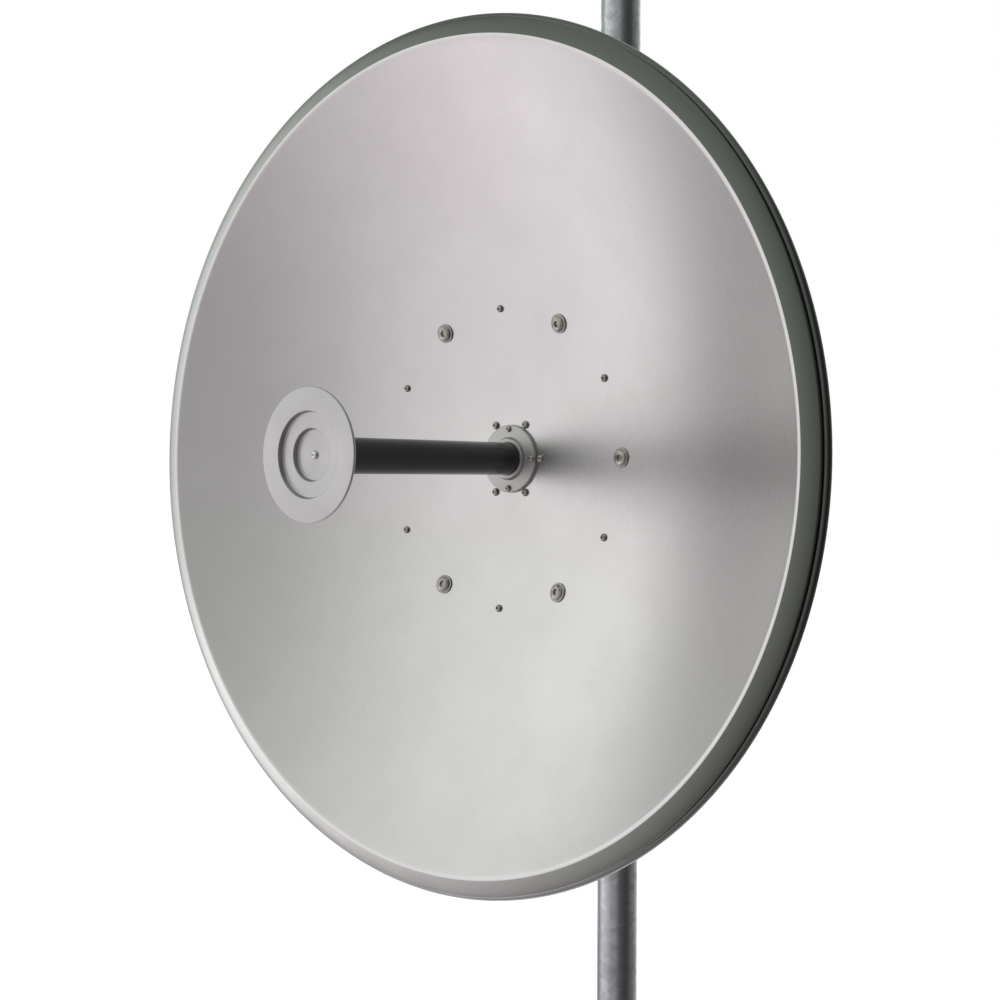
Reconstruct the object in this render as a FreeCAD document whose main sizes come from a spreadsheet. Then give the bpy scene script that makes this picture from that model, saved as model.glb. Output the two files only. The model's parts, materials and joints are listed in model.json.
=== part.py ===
"""Prime-focus microwave dish antenna on a vertical pipe mast.

Row frame, millimetres: the mast stands on the origin and runs up +Z, the dish looks along -Y.
Parts of the dish and the feed are drawn about their own Z axis, which points out of the bowl from
the deepest point of its front surface, and are then laid onto the dish axis.
"""

import FreeCAD, Part
import math
import os
import re
import Sketcher

Vector = FreeCAD.Vector
Placement = FreeCAD.Placement
Rotation = FreeCAD.Rotation

X_AXIS = Vector(1, 0, 0)
Y_AXIS = Vector(0, 1, 0)
Z_AXIS = Vector(0, 0, 1)
NO_TURN = Rotation()

# Driving dimensions, millimetres and degrees.
DIMENSIONS = {
    # mast
    "mast_radius": 24.15,
    "mast_wall": 2.9,
    "mast_length": 1500,
    "cap_wall": 1.8,
    "cap_top": 4,
    "cap_hollow": 2,
    "cap_skirt": 25,
    # where the dish stands
    "axis_height": 800,
    "rim_reach": 338,
    # bowl
    "focal": 342,
    "sheet": 2.2,
    "aperture_radius": 430,
    "rim_radius": 450,
    "rim_drop": 1.6,
    "rim_break": 1,
    "rim_lip": 4,
    "skirt_inset": 2.6,
    "bead_radius": 4.6,
    "bead_reach": 454.7,
    "bead_depth": 12.5,
    "bead_crown": 2.76,
    "bead_side": 2.3,
    "neck_radius": 20,
    # ring of bolts through the bowl
    "bolt_circle": 165,
    "bolt_shank": 5,
    "bolt_head": 10.5,
    "small_shank": 2.5,
    "small_head": 4.1,
    # back ring and back plate
    "ring_inner": 148,
    "ring_outer": 186,
    "ring_sheet": 3,
    "ring_flange": 206,
    "drum_depth": 42,
    "plate_circle": 196,
    "plate_thick": 6,
    "plate_hole": 62,
    "window_radius": 30,
    "window_circle": 128,
    # hub and feed flange
    "hub_radius": 54,
    "hub_face": 2.4,
    "hub_thick": 6.6,
    "hub_circle": 43,
    "flange_circle": 33,
    "flange_radius": 37.5,
    "flange_seat": 1.1,
    "flange_face": 4.9,
    "flange_break": 0.8,
    "boss_root": 24,
    "boss_shoulder": 22.5,
    "boss_shoulder_height": 8.4,
    "boss_top": 21.5,
    "boss_height": 9.4,
    "neck_play": 0.2,
    "feed_bore": 18.06,
    "clamp_radius": 28,
    "clamp_length": 10,
    # feed
    "tube_radius": 18,
    "sleeve_bore": 16.8,
    "guide_radius": 16.75,
    "guide_bore": 15.4,
    "tube_start": 22,
    "tube_end": 284,
    "guide_end": 268,
    "collar_back": 7,
    "collar_front": 2,
    "collar_small": 19,
    "collar_large": 22.7,
    "spacer_point": 36,
    "spacer_taper": 8,
    "spacer_radius": 17.6,
    "spacer_core": 2,
    "spacer_core_length": 14,
    "splash_radius": 65,
    "splash_face": 300,
    "splash_sheet": 3,
    "outer_step": 41.5,
    "inner_step": 25,
    "step_depth": 5,
    "step_slope": 0.5,
    "splash_edge": 0.6,
    "splash_bore": 2.1,
    "housing_radius": 21,
    "housing_back": 46,
    "housing_front": 22.3,
    "housing_floor": 4,
    "port_depth": 33,
    "port_seat": 24,
    "thread_radius": 7.9,
    "thread_end": 43,
    "pin_radius": 1.5,
    # elevation pivot, measured from the mast axis
    "pivot_reach": 95,
    "pivot_radius": 6,
    "tilt_limit": 15,
    "slot_radius": 60,
    "slot_half_width": 4.5,
    "slot_margin": 16,
    "running": 0.05,
    "gap": 0.3,
    # clamp channel and ears
    "cheek_inner": 50,
    "cheek_outer": 56,
    "web_front": 46,
    "web_back": 40,
    "web_half_height": 98,
    "ear_outer": 49.7,
    "ear_inner": 44.2,
    "ear_flange": 86,
    "ear_sheet": 5.5,
    "ear_bolt_out": 70,
    "ear_bolt_up": 60,
    "ear_top": 88,
    "ear_flange_top": 85,
    "ear_nose": 24,
    "lock_hole": 4.05,
    "ear_hole": 4.2,
    # mast clamps
    "clamp_spacing": 65,
    "u_rod": 5,
    "u_clearance": 0.4,
    "saddle_half_width": 38,
    "saddle_half_height": 12,
    "saddle_mouth": 22,
    # elevation adjuster
    "link_forward": 36,
    "link_drop": 125,
    "link_out": 38,
    "rod_radius": 5,
    "rod_length": 142,
    "rod_start": 8,
    "eye_radius": 11,
    "block_half": 9,
    "block_reach": 11,
}

# Hexagons across flats, and the heights of nuts and hexagon heads, by thread.
FLATS_M5 = 8
NUT_M5 = 4
FLATS_M8 = 13
NUT_M8 = 6.5
HEAD_M8 = 5.3
FLATS_M10 = 17
NUT_M10 = 8
HEAD_M10 = 6.4
FLATS_M12 = 18
NUT_M12 = 10.8
HEAD_M12 = 7.5

# Shank radii of the threads that the sheet does not carry.
FLANGE_SHANK = 2.0
PLATE_SHANK = 4.0
CLAMP_SHANK = 2.5

# How far a bolt stands out of its nut.
THREAD_SHOWING = 2.5

# Round-headed bolts through the bowl: a flat collar, a coned crown and a hexagon socket.
COLLAR_TOP = 1.8
CROWN_HEIGHT = 2.7
CROWN_FOOT = 0.82
CROWN_TOP = 0.56
SOCKET_FLATS = 7
SOCKET_FLOOR = 2.2
BOWL_BOLT_END = -18
BOWL_SCREW_END = -12
SMALL_HEAD_HEIGHT = 2.8

# A pan head: a straight side, then a taper, as shares of its height and radius.
PAN_SIDE = 0.4
PAN_TOP = 0.72

# Washers.
LOCK_WASHER_RADIUS = 8.5
LOCK_WASHER_THICK = 1.6
U_WASHER_RADIUS = 10.5
U_WASHER_THICK = 2
PIVOT_WASHER_RADIUS = 12
PIVOT_WASHER_THICK = 2.5

WORDS_KEPT = {"sin", "cos", "deg"}

doc = FreeCAD.newDocument("DishAntenna")
sheet = doc.addObject("Spreadsheet::Sheet", "Dims")
for row, (name, value) in enumerate(DIMENSIONS.items(), start=1):
    sheet.set(f"A{row}", name)
    sheet.set(f"B{row}", str(value))
    sheet.setAlias(f"B{row}", name)
doc.recompute()

BOWL_DEPTH = "(aperture_radius * aperture_radius / (4 * focal))"
VERTEX_Y = f"({BOWL_DEPTH} - rim_reach)"
BOLT_SLOPE = "(bolt_circle / (2 * focal))"
BOLT_DEPTH = "(bolt_circle * bolt_circle / (4 * focal))"

nodes = []


def expression(text):
    """Puts the sheet's name before each alias in a formula."""

    def named(match):
        word = match.group(0)
        return word if word in WORDS_KEPT else "Dims." + word

    return re.sub(r"[a-z_]{2,}", named, text)


def number(text):
    """The value of a formula of the sheet's aliases."""
    return float(sheet.evalExpression(expression(text)))


def node(thing, label):
    """Names a finished sub-part and lists it for writing."""
    thing.Label = label
    nodes.append(thing)
    return thing


def place(thing, x="0", y="0", z="0", turn=NO_TURN):
    """Places a sub-part, with the place bound to the sheet."""
    thing.Placement = Placement(Vector(), turn)
    thing.setExpression(".Placement.Base.x", expression(x))
    thing.setExpression(".Placement.Base.y", expression(y))
    thing.setExpression(".Placement.Base.z", expression(z))
    return thing


def on_dish_axis(thing):
    """Lays a part drawn about its own Z axis onto the dish axis."""
    return place(thing, y=VERTEX_Y, z="axis_height", turn=Rotation(X_AXIS, 90))


def at_pivot(thing):
    """Places a part that is drawn from the middle of the elevation pivot."""
    return place(thing, y="-pivot_reach", z="axis_height")


# ---- sketches ------------------------------------------------------------------------------


def sketch_on(body, role, offset="0"):
    """An empty sketch on one of the body's own origin planes, moved along the plane's normal."""
    plane = next(face for face in body.Origin.OriginFeatures if face.Role == role)
    sketch = body.newObject("Sketcher::SketchObject", body.Name + "_sketch")
    sketch.AttachmentSupport = [(plane, "")]
    sketch.MapMode = "FlatFace"
    sketch.setExpression(".AttachmentOffset.Base.z", expression(offset))
    return sketch


def hold(sketch, geometry, point, across, up):
    """Holds one point of a sketch at two formulas from the sketch's origin."""
    for kind, text in (("DistanceX", across), ("DistanceY", up)):
        index = sketch.addConstraint(Sketcher.Constraint(kind, geometry, point, number(text)))
        sketch.setExpression(f"Constraints[{index}]", expression(text))


def draw_outline(sketch, corners):
    """A closed outline of straight edges through corners given as pairs of formulas."""
    first = sketch.GeometryCount
    points = [Vector(number(across), number(up), 0) for across, up in corners]
    for here, there in zip(points, points[1:] + points[:1]):
        sketch.addGeometry(Part.LineSegment(here, there), False)
    for step, (across, up) in enumerate(corners):
        following = first + (step + 1) % len(corners)
        sketch.addConstraint(Sketcher.Constraint("Coincident", first + step, 2, following, 1))
        hold(sketch, first + step, 1, across, up)


def draw_circles(sketch, centres, radius):
    """Circles of one radius, at centres given as pairs of formulas."""
    for across, up in centres:
        middle = Vector(number(across), number(up), 0)
        circle = sketch.addGeometry(Part.Circle(middle, Z_AXIS, number(radius)), False)
        hold(sketch, circle, 3, across, up)
        index = sketch.addConstraint(Sketcher.Constraint("Radius", circle, number(radius)))
        sketch.setExpression(f"Constraints[{index}]", expression(radius))


# ---- bodies --------------------------------------------------------------------------------


def new_body(label):
    """A PartDesign body that is a sub-part of its own."""
    return doc.addObject("PartDesign::Body", label)


def turned(label, corners):
    """A body turned about its Z axis from an outline of (radius, height) corners."""
    body = new_body(label)
    sketch = sketch_on(body, "XZ_Plane")
    draw_outline(sketch, corners)
    revolution = body.newObject("PartDesign::Revolution", label + "_turned")
    revolution.Profile = sketch
    revolution.ReferenceAxis = (sketch, ["V_Axis"])
    revolution.Angle = 360
    return body


def pad(body, role, corners, thickness, offset="0"):
    """Adds a plate of an outline, centred on its sketch plane."""
    sketch = sketch_on(body, role, offset)
    draw_outline(sketch, corners)
    feature = body.newObject("PartDesign::Pad", body.Name + "_pad")
    feature.Profile = sketch
    feature.SideType = "Symmetric"
    feature.setExpression("Length", expression(thickness))
    return feature


def pocket(body, sketch, depth):
    """Cuts a sketch through the body, half the depth to each side of its plane."""
    before = body.Tip.Shape.Volume
    feature = body.newObject("PartDesign::Pocket", body.Name + "_pocket")
    feature.Profile = sketch
    feature.SideType = "Symmetric"
    feature.setExpression("Length", expression(depth))
    doc.recompute()
    if feature.Shape.Volume >= before:
        raise RuntimeError(f"{body.Name}: a pocket cut nothing")
    return feature


def carve(body, role, corners, depth, offset="0"):
    """Pockets an outline."""
    doc.recompute()
    sketch = sketch_on(body, role, offset)
    draw_outline(sketch, corners)
    return pocket(body, sketch, depth)


def drill(body, role, centres, radius, depth, offset="0"):
    """Pockets a set of round holes."""
    doc.recompute()
    sketch = sketch_on(body, role, offset)
    draw_circles(sketch, centres, radius)
    return pocket(body, sketch, depth)


# ---- solids for groups of like pieces ------------------------------------------------------


def rod(radius, start, end, axis=Z_AXIS):
    """A round bar along an axis through the origin, from start to end."""
    return Part.makeCylinder(radius, end - start, axis * start, axis)


def hexagon(across_flats, start, end):
    """A hexagonal prism along Z."""
    corner = across_flats / 2 / math.cos(math.pi / 6)
    angles = [math.pi / 3 * step for step in range(7)]
    points = [Vector(corner * math.cos(a), corner * math.sin(a), start) for a in angles]
    return Part.Face(Part.makePolygon(points)).extrude(Z_AXIS * (end - start))


def hex_bolt(shank, across_flats, head, start, end):
    """A bolt with its head above start and its shank down to end."""
    return hexagon(across_flats, start, start + head).fuse(rod(shank, end, start)).removeSplitter()


def hex_nut(bore, across_flats, start, end):
    """A hexagonal nut."""
    return hexagon(across_flats, start, end).cut(rod(bore, start, end))


def washer(bore, radius, start, end):
    """A flat washer."""
    return rod(radius, start, end).cut(rod(bore, start, end))


def pan_screw(shank, head_radius, head, start, end):
    """A pan-head screw: a short tapered head above start and a shank down to end."""
    shoulder = start + head * PAN_SIDE
    crown = Part.makeCone(head_radius, head_radius * PAN_TOP, head * (1 - PAN_SIDE), Z_AXIS * shoulder)
    side = rod(head_radius, start, shoulder)
    return side.fuse([crown, rod(shank, end, start)]).removeSplitter()


def moved(solid, placement):
    """A copy of a solid at a placement."""
    copy = solid.copy()
    copy.Placement = placement
    return copy


def group(label, solids):
    """One node of separate solids."""
    feature = doc.addObject("Part::Feature", label)
    feature.Shape = Part.makeCompound(solids)
    return node(feature, label)


def ring_places(radius, count, first_angle, height=0.0, lean=0.0):
    """Placements evenly round the Z axis, each leaning in towards it by the given angle."""
    places = []
    for step in range(count):
        around = Rotation(Z_AXIS, first_angle + 360 / count * step)
        turn = around.multiply(Rotation(Y_AXIS, -lean))
        places.append(Placement(around.multVec(Vector(radius, 0, height)), turn))
    return places


def ring_group(label, solid, places):
    """Like pieces round the dish axis."""
    return on_dish_axis(group(label, [moved(solid, spot) for spot in places]))


def cut_from(body, label, drills):
    """A sub-part that is a body with round holes cut from it by bars."""
    tool = doc.addObject("Part::Feature", label + "_drills")
    tool.Shape = Part.makeCompound(drills)
    cut = doc.addObject("Part::Cut", label)
    cut.Base = body
    cut.Tool = tool
    return node(cut, label)


# ---- mast ----------------------------------------------------------------------------------


def make_mast():
    """The upright pipe and the cap pushed over its top end."""
    bore = "(mast_radius - mast_wall)"
    pipe = turned("mast_tube", [
        (bore, "0"),
        ("mast_radius", "0"),
        ("mast_radius", "mast_length"),
        (bore, "mast_length"),
    ])
    node(pipe, "mast_tube")
    outside = "(mast_radius + cap_wall)"
    cap = turned("mast_cap", [
        ("0", "cap_top"),
        (f"{outside} - cap_wall", "cap_top"),
        (outside, "cap_top - cap_wall"),
        (outside, "-cap_skirt"),
        ("mast_radius + running", "-cap_skirt"),
        ("mast_radius + running", "0"),
        (f"{bore} + gap", "0"),
        (f"{bore} + gap", "cap_hollow"),
        ("0", "cap_hollow"),
    ])
    node(place(cap, z="mast_length"), "mast_cap")


# ---- bowl ----------------------------------------------------------------------------------


def draw_parabola(sketch, lift, inner, outer):
    """A stretch of the bowl's parabola, lifted along the axis; it starts at its inner end.

    Three poles carry a parabola exactly: its two ends, and the point where their tangents meet.
    """
    poles = [
        (inner, f"{inner} * {inner} / (4 * focal) + {lift}"),
        (f"({inner} + {outer}) / 2", f"{inner} * {outer} / (4 * focal) + {lift}"),
        (outer, f"{outer} * {outer} / (4 * focal) + {lift}"),
    ]
    curve = Part.BSplineCurve()
    points = [Vector(number(across), number(up), 0) for across, up in poles]
    curve.buildFromPolesMultsKnots(points, (3, 3), (0, 1), False, 2)
    arc = sketch.addGeometry(curve, False)
    first_pole = sketch.GeometryCount
    sketch.exposeInternalGeometry(arc)
    for step, (across, up) in enumerate(poles):
        hold(sketch, first_pole + step, 3, across, up)
    return arc


def make_reflector():
    """The spun bowl: a paraboloid with a rim band, a skirt turned back and a rolled hem."""
    body = new_body("reflector_blank")
    sketch = sketch_on(body, "XZ_Plane")
    under = "(0 - sheet)"
    front = draw_parabola(sketch, "0", "neck_radius", "aperture_radius")
    back = draw_parabola(sketch, under, "neck_radius", "aperture_radius")
    depth = BOWL_DEPTH
    skirt = "(rim_radius - skirt_inset)"
    bead = "(bead_reach - bead_radius)"
    bead_up = f"({depth} - bead_depth)"
    edge = [
        ("rim_radius - rim_break", f"{depth} - rim_drop"),
        ("rim_radius", f"{depth} - rim_drop - rim_break"),
        (skirt, f"{depth} - rim_drop - rim_lip"),
        (skirt, f"{bead_up} + bead_radius - rim_break"),
        (f"{bead} + bead_crown", f"{bead_up} + bead_radius"),
        (f"{bead} + bead_radius", f"{bead_up} + bead_side"),
        (f"{bead} + bead_radius", f"{bead_up} - bead_side"),
        (f"{bead} + bead_crown", f"{bead_up} - bead_radius"),
        (f"{skirt} - sheet", f"{bead_up} - bead_radius"),
        (f"{skirt} - sheet", f"{depth} - rim_drop - sheet"),
    ]
    ends = [sketch.Geometry[front].EndPoint]
    ends += [Vector(number(across), number(up), 0) for across, up in edge]
    ends.append(sketch.Geometry[back].EndPoint)
    first = sketch.GeometryCount
    for here, there in zip(ends, ends[1:]):
        sketch.addGeometry(Part.LineSegment(here, there), False)
    last = sketch.GeometryCount - 1
    sketch.addConstraint(Sketcher.Constraint("Coincident", front, 2, first, 1))
    sketch.addConstraint(Sketcher.Constraint("Coincident", back, 2, last, 2))
    for step, (across, up) in enumerate(edge):
        sketch.addConstraint(Sketcher.Constraint("Coincident", first + step, 2, first + step + 1, 1))
        hold(sketch, first + step, 2, across, up)
    neck = Part.LineSegment(sketch.Geometry[front].StartPoint, sketch.Geometry[back].StartPoint)
    neck_line = sketch.addGeometry(neck, False)
    sketch.addConstraint(Sketcher.Constraint("Coincident", front, 1, neck_line, 1))
    sketch.addConstraint(Sketcher.Constraint("Coincident", back, 1, neck_line, 2))
    spun = body.newObject("PartDesign::Revolution", "reflector_spun")
    spun.Profile = sketch
    spun.ReferenceAxis = (sketch, ["V_Axis"])
    spun.Angle = 360
    drills = bowl_drills() + hub_drills()
    on_dish_axis(cut_from(body, "reflector", drills))


BOLT_CLEARANCE = 0.2
DRILL_REACH = 40


def bolt_places(count, first_angle):
    """Where the ring of bolts passes through the bowl, square to its surface."""
    lean = math.degrees(math.atan(number(BOLT_SLOPE)))
    return ring_places(number("bolt_circle"), count, first_angle, number(BOLT_DEPTH), lean)


def bowl_drills():
    """Bars that cut the holes for the ring of bolts."""
    large = rod(number("bolt_shank") + BOLT_CLEARANCE, -DRILL_REACH, DRILL_REACH)
    small = rod(number("small_shank") + BOLT_CLEARANCE, -DRILL_REACH, DRILL_REACH)
    drills = [moved(large, spot) for spot in bolt_places(6, 0)]
    return drills + [moved(small, spot) for spot in bolt_places(6, 30)]


def hub_drills():
    """Bars that cut the holes round the feed."""
    wide = rod(number("small_shank") + BOLT_CLEARANCE, -DRILL_REACH, DRILL_REACH)
    drills = [moved(wide, spot) for spot in ring_places(number("hub_circle"), 6, 0)]
    slim = rod(FLANGE_SHANK + BOLT_CLEARANCE, -DRILL_REACH, DRILL_REACH)
    return drills + [moved(slim, spot) for spot in ring_places(number("flange_circle"), 4, 0)]


HUB_HEAD = 4.3
HEAD_LIFT = 0.1


def make_ring_fasteners():
    """Bolts, screws and nuts that hold the bowl to its back ring."""
    shank = number("bolt_shank")
    head = number("bolt_head")
    button = rod(head, HEAD_LIFT, COLLAR_TOP).fuse([
        Part.makeCone(head * CROWN_FOOT, head * CROWN_TOP, CROWN_HEIGHT, Z_AXIS * COLLAR_TOP),
        rod(shank, BOWL_BOLT_END, HEAD_LIFT),
    ])
    socket = hexagon(SOCKET_FLATS, SOCKET_FLOOR, COLLAR_TOP + CROWN_HEIGHT + HEAD_LIFT)
    button = button.removeSplitter().cut(socket)
    ring_group("bowl_bolts", button, bolt_places(6, 0))
    # The ring's flange lies behind the sheet; its back is this far down a bolt.
    behind = -(number("sheet + ring_sheet") / math.hypot(1, number(BOLT_SLOPE))) - HEAD_LIFT
    ring_group("bowl_nuts", hex_nut(shank, FLATS_M10, behind - NUT_M10, behind), bolt_places(6, 0))
    small = number("small_shank")
    screw = pan_screw(small, number("small_head"), SMALL_HEAD_HEIGHT, HEAD_LIFT, BOWL_SCREW_END)
    ring_group("bowl_screws", screw, bolt_places(6, 30))
    ring_group("bowl_screw_nuts", hex_nut(small, FLATS_M5, behind - NUT_M5, behind), bolt_places(6, 30))


# ---- back ring and plate -------------------------------------------------------------------


def make_back_ring():
    """The pressed ring behind the bowl, with a coned flange in front and a flat one behind."""

    def cone(radius, drop="0"):
        return f"{BOLT_DEPTH} - sheet + {BOLT_SLOPE} * ({radius} - bolt_circle) - {drop}"

    wall = "(ring_outer - ring_sheet)"
    ring = turned("back_ring_blank", [
        ("ring_inner", cone("ring_inner")),
        ("ring_outer", cone("ring_outer")),
        ("ring_outer", "ring_sheet - drum_depth"),
        ("ring_flange", "ring_sheet - drum_depth"),
        ("ring_flange", "-drum_depth"),
        (wall, "-drum_depth"),
        (wall, cone(wall, "ring_sheet")),
        ("ring_inner", cone("ring_inner", "ring_sheet")),
    ])
    drills = bowl_drills() + plate_drills()
    on_dish_axis(cut_from(ring, "back_ring", drills))


def plate_places():
    """Where the back plate is bolted to the back ring."""
    return ring_places(number("plate_circle"), 6, 30, -number("drum_depth"))


def plate_drills():
    """Bars that cut the holes between back ring and back plate."""
    bar = rod(PLATE_SHANK + BOLT_CLEARANCE, -DRILL_REACH / 2, DRILL_REACH / 2)
    return [moved(bar, spot) for spot in plate_places()]


def make_back_plate():
    """The flat steel plate that the ears are bolted to, with four windows and a hole for the feed."""
    plate = turned("back_plate_blank", [
        ("plate_hole", "-drum_depth"),
        ("ring_flange", "-drum_depth"),
        ("ring_flange", "-drum_depth - plate_thick"),
        ("plate_hole", "-drum_depth - plate_thick"),
    ])
    window = rod(number("window_radius"), -2 * DRILL_REACH, DRILL_REACH)
    drills = [moved(window, spot) for spot in ring_places(number("window_circle"), 4, 0)]
    drills += plate_drills()
    ear_bar = rod(PLATE_SHANK + BOLT_CLEARANCE, -2 * DRILL_REACH, DRILL_REACH)
    drills += [moved(ear_bar, spot) for spot in ear_bolt_places(0)]
    on_dish_axis(cut_from(plate, "back_plate", drills))
    back = -number("plate_thick")
    tip = back - NUT_M8 - THREAD_SHOWING
    bolt = hex_bolt(PLATE_SHANK, FLATS_M8, HEAD_M8, number("ring_sheet"), tip)
    ring_group("plate_bolts", bolt, plate_places())
    ring_group("plate_nuts", hex_nut(PLATE_SHANK, FLATS_M8, back - NUT_M8, back), plate_places())


def ear_bolt_places(height):
    """Where the ears are bolted to the back plate, in the dish's own frame."""
    out = number("ear_bolt_out")
    up = number("ear_bolt_up")
    return [Placement(Vector(side * out, rise * up, height), NO_TURN) for side in (-1, 1) for rise in (-1, 1)]


# ---- ears ----------------------------------------------------------------------------------

PLATE_BACK = f"({VERTEX_Y} + drum_depth + plate_thick + pivot_reach)"


def make_ear(label, side, lower_edge):
    """A folded steel ear: a flange on the back plate and a cheek with the pivot and lock holes."""
    ear = new_body(label)
    middle = f"{side} * (ear_outer + ear_inner) / 2"
    thick = "ear_outer - ear_inner"
    outline = [
        (PLATE_BACK, "ear_top"),
        ("-6", "slot_radius + slot_margin"),
        ("14", "slot_radius + 6"),
        ("ear_nose", "8"),
        ("ear_nose", "-12"),
        ("4", "-40"),
    ]
    pad(ear, "YZ_Plane", outline + lower_edge, thick, middle)
    flange_middle = f"{side} * (ear_flange + ear_inner) / 2"
    flange = [
        (PLATE_BACK, "ear_flange_top"),
        (f"{PLATE_BACK} + ear_sheet", "ear_flange_top"),
        (f"{PLATE_BACK} + ear_sheet", "-ear_top"),
        (PLATE_BACK, "-ear_top"),
    ]
    pad(ear, "YZ_Plane", flange, "ear_flange - ear_inner", flange_middle)
    through = f"2 * ({thick})"
    drill(ear, "YZ_Plane", [("0", "0")], "pivot_radius + running", through, middle)
    drill(ear, "YZ_Plane", [("0", "slot_radius")], "lock_hole", through, middle)
    centres = [(f"{side} * ear_bolt_out", "ear_bolt_up"), (f"{side} * ear_bolt_out", "-ear_bolt_up")]
    drill(ear, "XZ_Plane", centres, "ear_hole", "3 * ear_sheet", f"-{PLATE_BACK}")
    return ear


def make_ears():
    """Both ears; the right one also carries the adjuster's eye."""
    toe = [
        ("0 - link_forward + 16", "13 - link_drop"),
        ("0 - link_forward + 14", "-9 - link_drop"),
        ("0 - link_forward + 2", "-15 - link_drop"),
        ("0 - link_forward - 12", "-10 - link_drop"),
        (PLATE_BACK, "-104"),
    ]
    right = make_ear("ear_right", "1", toe)
    middle = "(ear_outer + ear_inner) / 2"
    drill(right, "YZ_Plane", [("-link_forward", "-link_drop")], "rod_radius + running", "20", middle)
    node(at_pivot(right), "ear_right")
    left = make_ear("ear_left", "-1", [(PLATE_BACK, "-100")])
    node(at_pivot(left), "ear_left")


LOCK_BOLT_TIP = 70


def make_ear_fasteners():
    """Bolts from the ears into the back plate, and the lock bolts in the arc slots."""
    back = number("-drum_depth - plate_thick - ear_sheet")
    front = number("-drum_depth")
    flip = Rotation(X_AXIS, 180)
    bolt = hex_bolt(PLATE_SHANK, FLATS_M8, HEAD_M8, 0, back - front - NUT_M8 - THREAD_SHOWING)
    spots = [Placement(spot.Base, flip) for spot in ear_bolt_places(back)]
    ring_group("ear_bolts", bolt, spots)
    ring_group("ear_nuts", hex_nut(PLATE_SHANK, FLATS_M8, front, front + NUT_M8), ear_bolt_places(0))
    lock = hex_bolt(PLATE_SHANK, FLATS_M8, HEAD_M8, -number("ear_inner"), -LOCK_BOLT_TIP)
    nut_face = number("cheek_outer + gap") + LOCK_WASHER_THICK
    flat = washer(PLATE_SHANK, LOCK_WASHER_RADIUS, nut_face - LOCK_WASHER_THICK, nut_face)
    nut = hex_nut(PLATE_SHANK, FLATS_M8, nut_face, nut_face + NUT_M8)
    up = Vector(0, 0, number("slot_radius"))
    out = [Placement(up, Rotation(Y_AXIS, side * 90)) for side in (-1, 1)]
    at_pivot(group("lock_bolts", [moved(lock, spot) for spot in out]))
    at_pivot(group("lock_washers", [moved(flat, spot) for spot in out]))
    at_pivot(group("lock_nuts", [moved(nut, spot) for spot in out]))


# ---- clamp channel and mast clamps ---------------------------------------------------------


def make_clamp_channel():
    """The channel that the clamps draw onto the mast; its cheeks carry pivots, slots and trunnion."""
    channel = new_body("clamp_channel")
    back = "(pivot_reach - web_back)"
    front = "(pivot_reach - web_front)"
    outline = [
        (back, "web_half_height"),
        ("30", "88"),
        ("-14", "slot_radius + slot_margin"),
        ("-28", "slot_radius + 2"),
        ("-26", "-10"),
        ("-14", "-24"),
        ("link_forward - 14", "-60"),
        ("link_forward - 14", "-7 - link_drop"),
        ("link_forward - 8", "-15 - link_drop"),
        ("link_forward + 10", "-15 - link_drop"),
        (back, "-5 - link_drop"),
    ]
    pad(channel, "YZ_Plane", outline, "2 * cheek_outer")
    inside = [
        ("-cheek_inner", "-60"),
        ("cheek_inner", "-60"),
        ("cheek_inner", front),
        ("-cheek_inner", front),
    ]
    carve(channel, "XY_Plane", inside, "500")
    below = [("0", "-200"), ("80", "-200"), ("80", "-web_half_height"), ("0", "-web_half_height")]
    carve(channel, "YZ_Plane", below, "2 * cheek_inner")
    spare_leg = [("-4", "-200"), ("80", "-200"), ("80", "-web_half_height"), ("-4", "-web_half_height")]
    carve(channel, "YZ_Plane", spare_leg, "cheek_outer - cheek_inner + 4", "-(cheek_outer + cheek_inner) / 2")
    width = "2 * cheek_outer + 10"
    drill(channel, "YZ_Plane", [("0", "0")], "pivot_radius + running", width)
    drill(channel, "YZ_Plane", [("link_forward", "-link_drop")], "pivot_radius + running", width)
    swing = "slot_radius * sin(tilt_limit * 1 deg)"
    rise = "slot_radius * cos(tilt_limit * 1 deg)"
    drill(channel, "YZ_Plane", [(swing, rise), (f"-{swing}", rise)], "slot_half_width", width)
    slot = sketch_on(channel, "XZ_Plane")
    low = "slot_radius - slot_half_width"
    high = "slot_radius + slot_half_width"
    half = "(cheek_outer + 5)"
    draw_outline(slot, [(f"-{half}", low), (half, low), (half, high), (f"-{half}", high)])
    groove = channel.newObject("PartDesign::Groove", "clamp_channel_slots")
    groove.Profile = slot
    groove.ReferenceAxis = (slot, ["H_Axis"])
    groove.Midplane = True
    groove.setExpression("Angle", expression("2 * tilt_limit"))
    spots = [(f"{side} * (mast_radius + gap + u_rod)", f"{rise} * clamp_spacing")
             for side in (-1, 1) for rise in (-1, 1)]
    drill(channel, "XZ_Plane", spots, "u_rod + u_clearance", "20", f"-{front}")
    node(at_pivot(channel), "clamp_channel")


def make_saddles():
    """V blocks between the channel and the mast, one at each clamp."""
    for label, side in (("saddle_upper", 1), ("saddle_lower", -1)):
        saddle = new_body(label)
        apex = "-(mast_radius + gap) / cos(30 deg)"
        lip = f"{apex} + saddle_mouth * sin(30 deg) / cos(30 deg)"
        outline = [
            ("-saddle_half_width", "-web_back"),
            ("saddle_half_width", "-web_back"),
            ("saddle_half_width", lip),
            ("saddle_mouth", lip),
            ("0", apex),
            ("-saddle_mouth", lip),
            ("-saddle_half_width", lip),
        ]
        pad(saddle, "XY_Plane", outline, "2 * saddle_half_height")
        legs = [("mast_radius + gap + u_rod", "0"), ("-(mast_radius + gap + u_rod)", "0")]
        drill(saddle, "XZ_Plane", legs, "u_rod + u_clearance", "200")
        node(place(saddle, z=f"axis_height + {side} * clamp_spacing"), label)


U_LEG = 64


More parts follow.
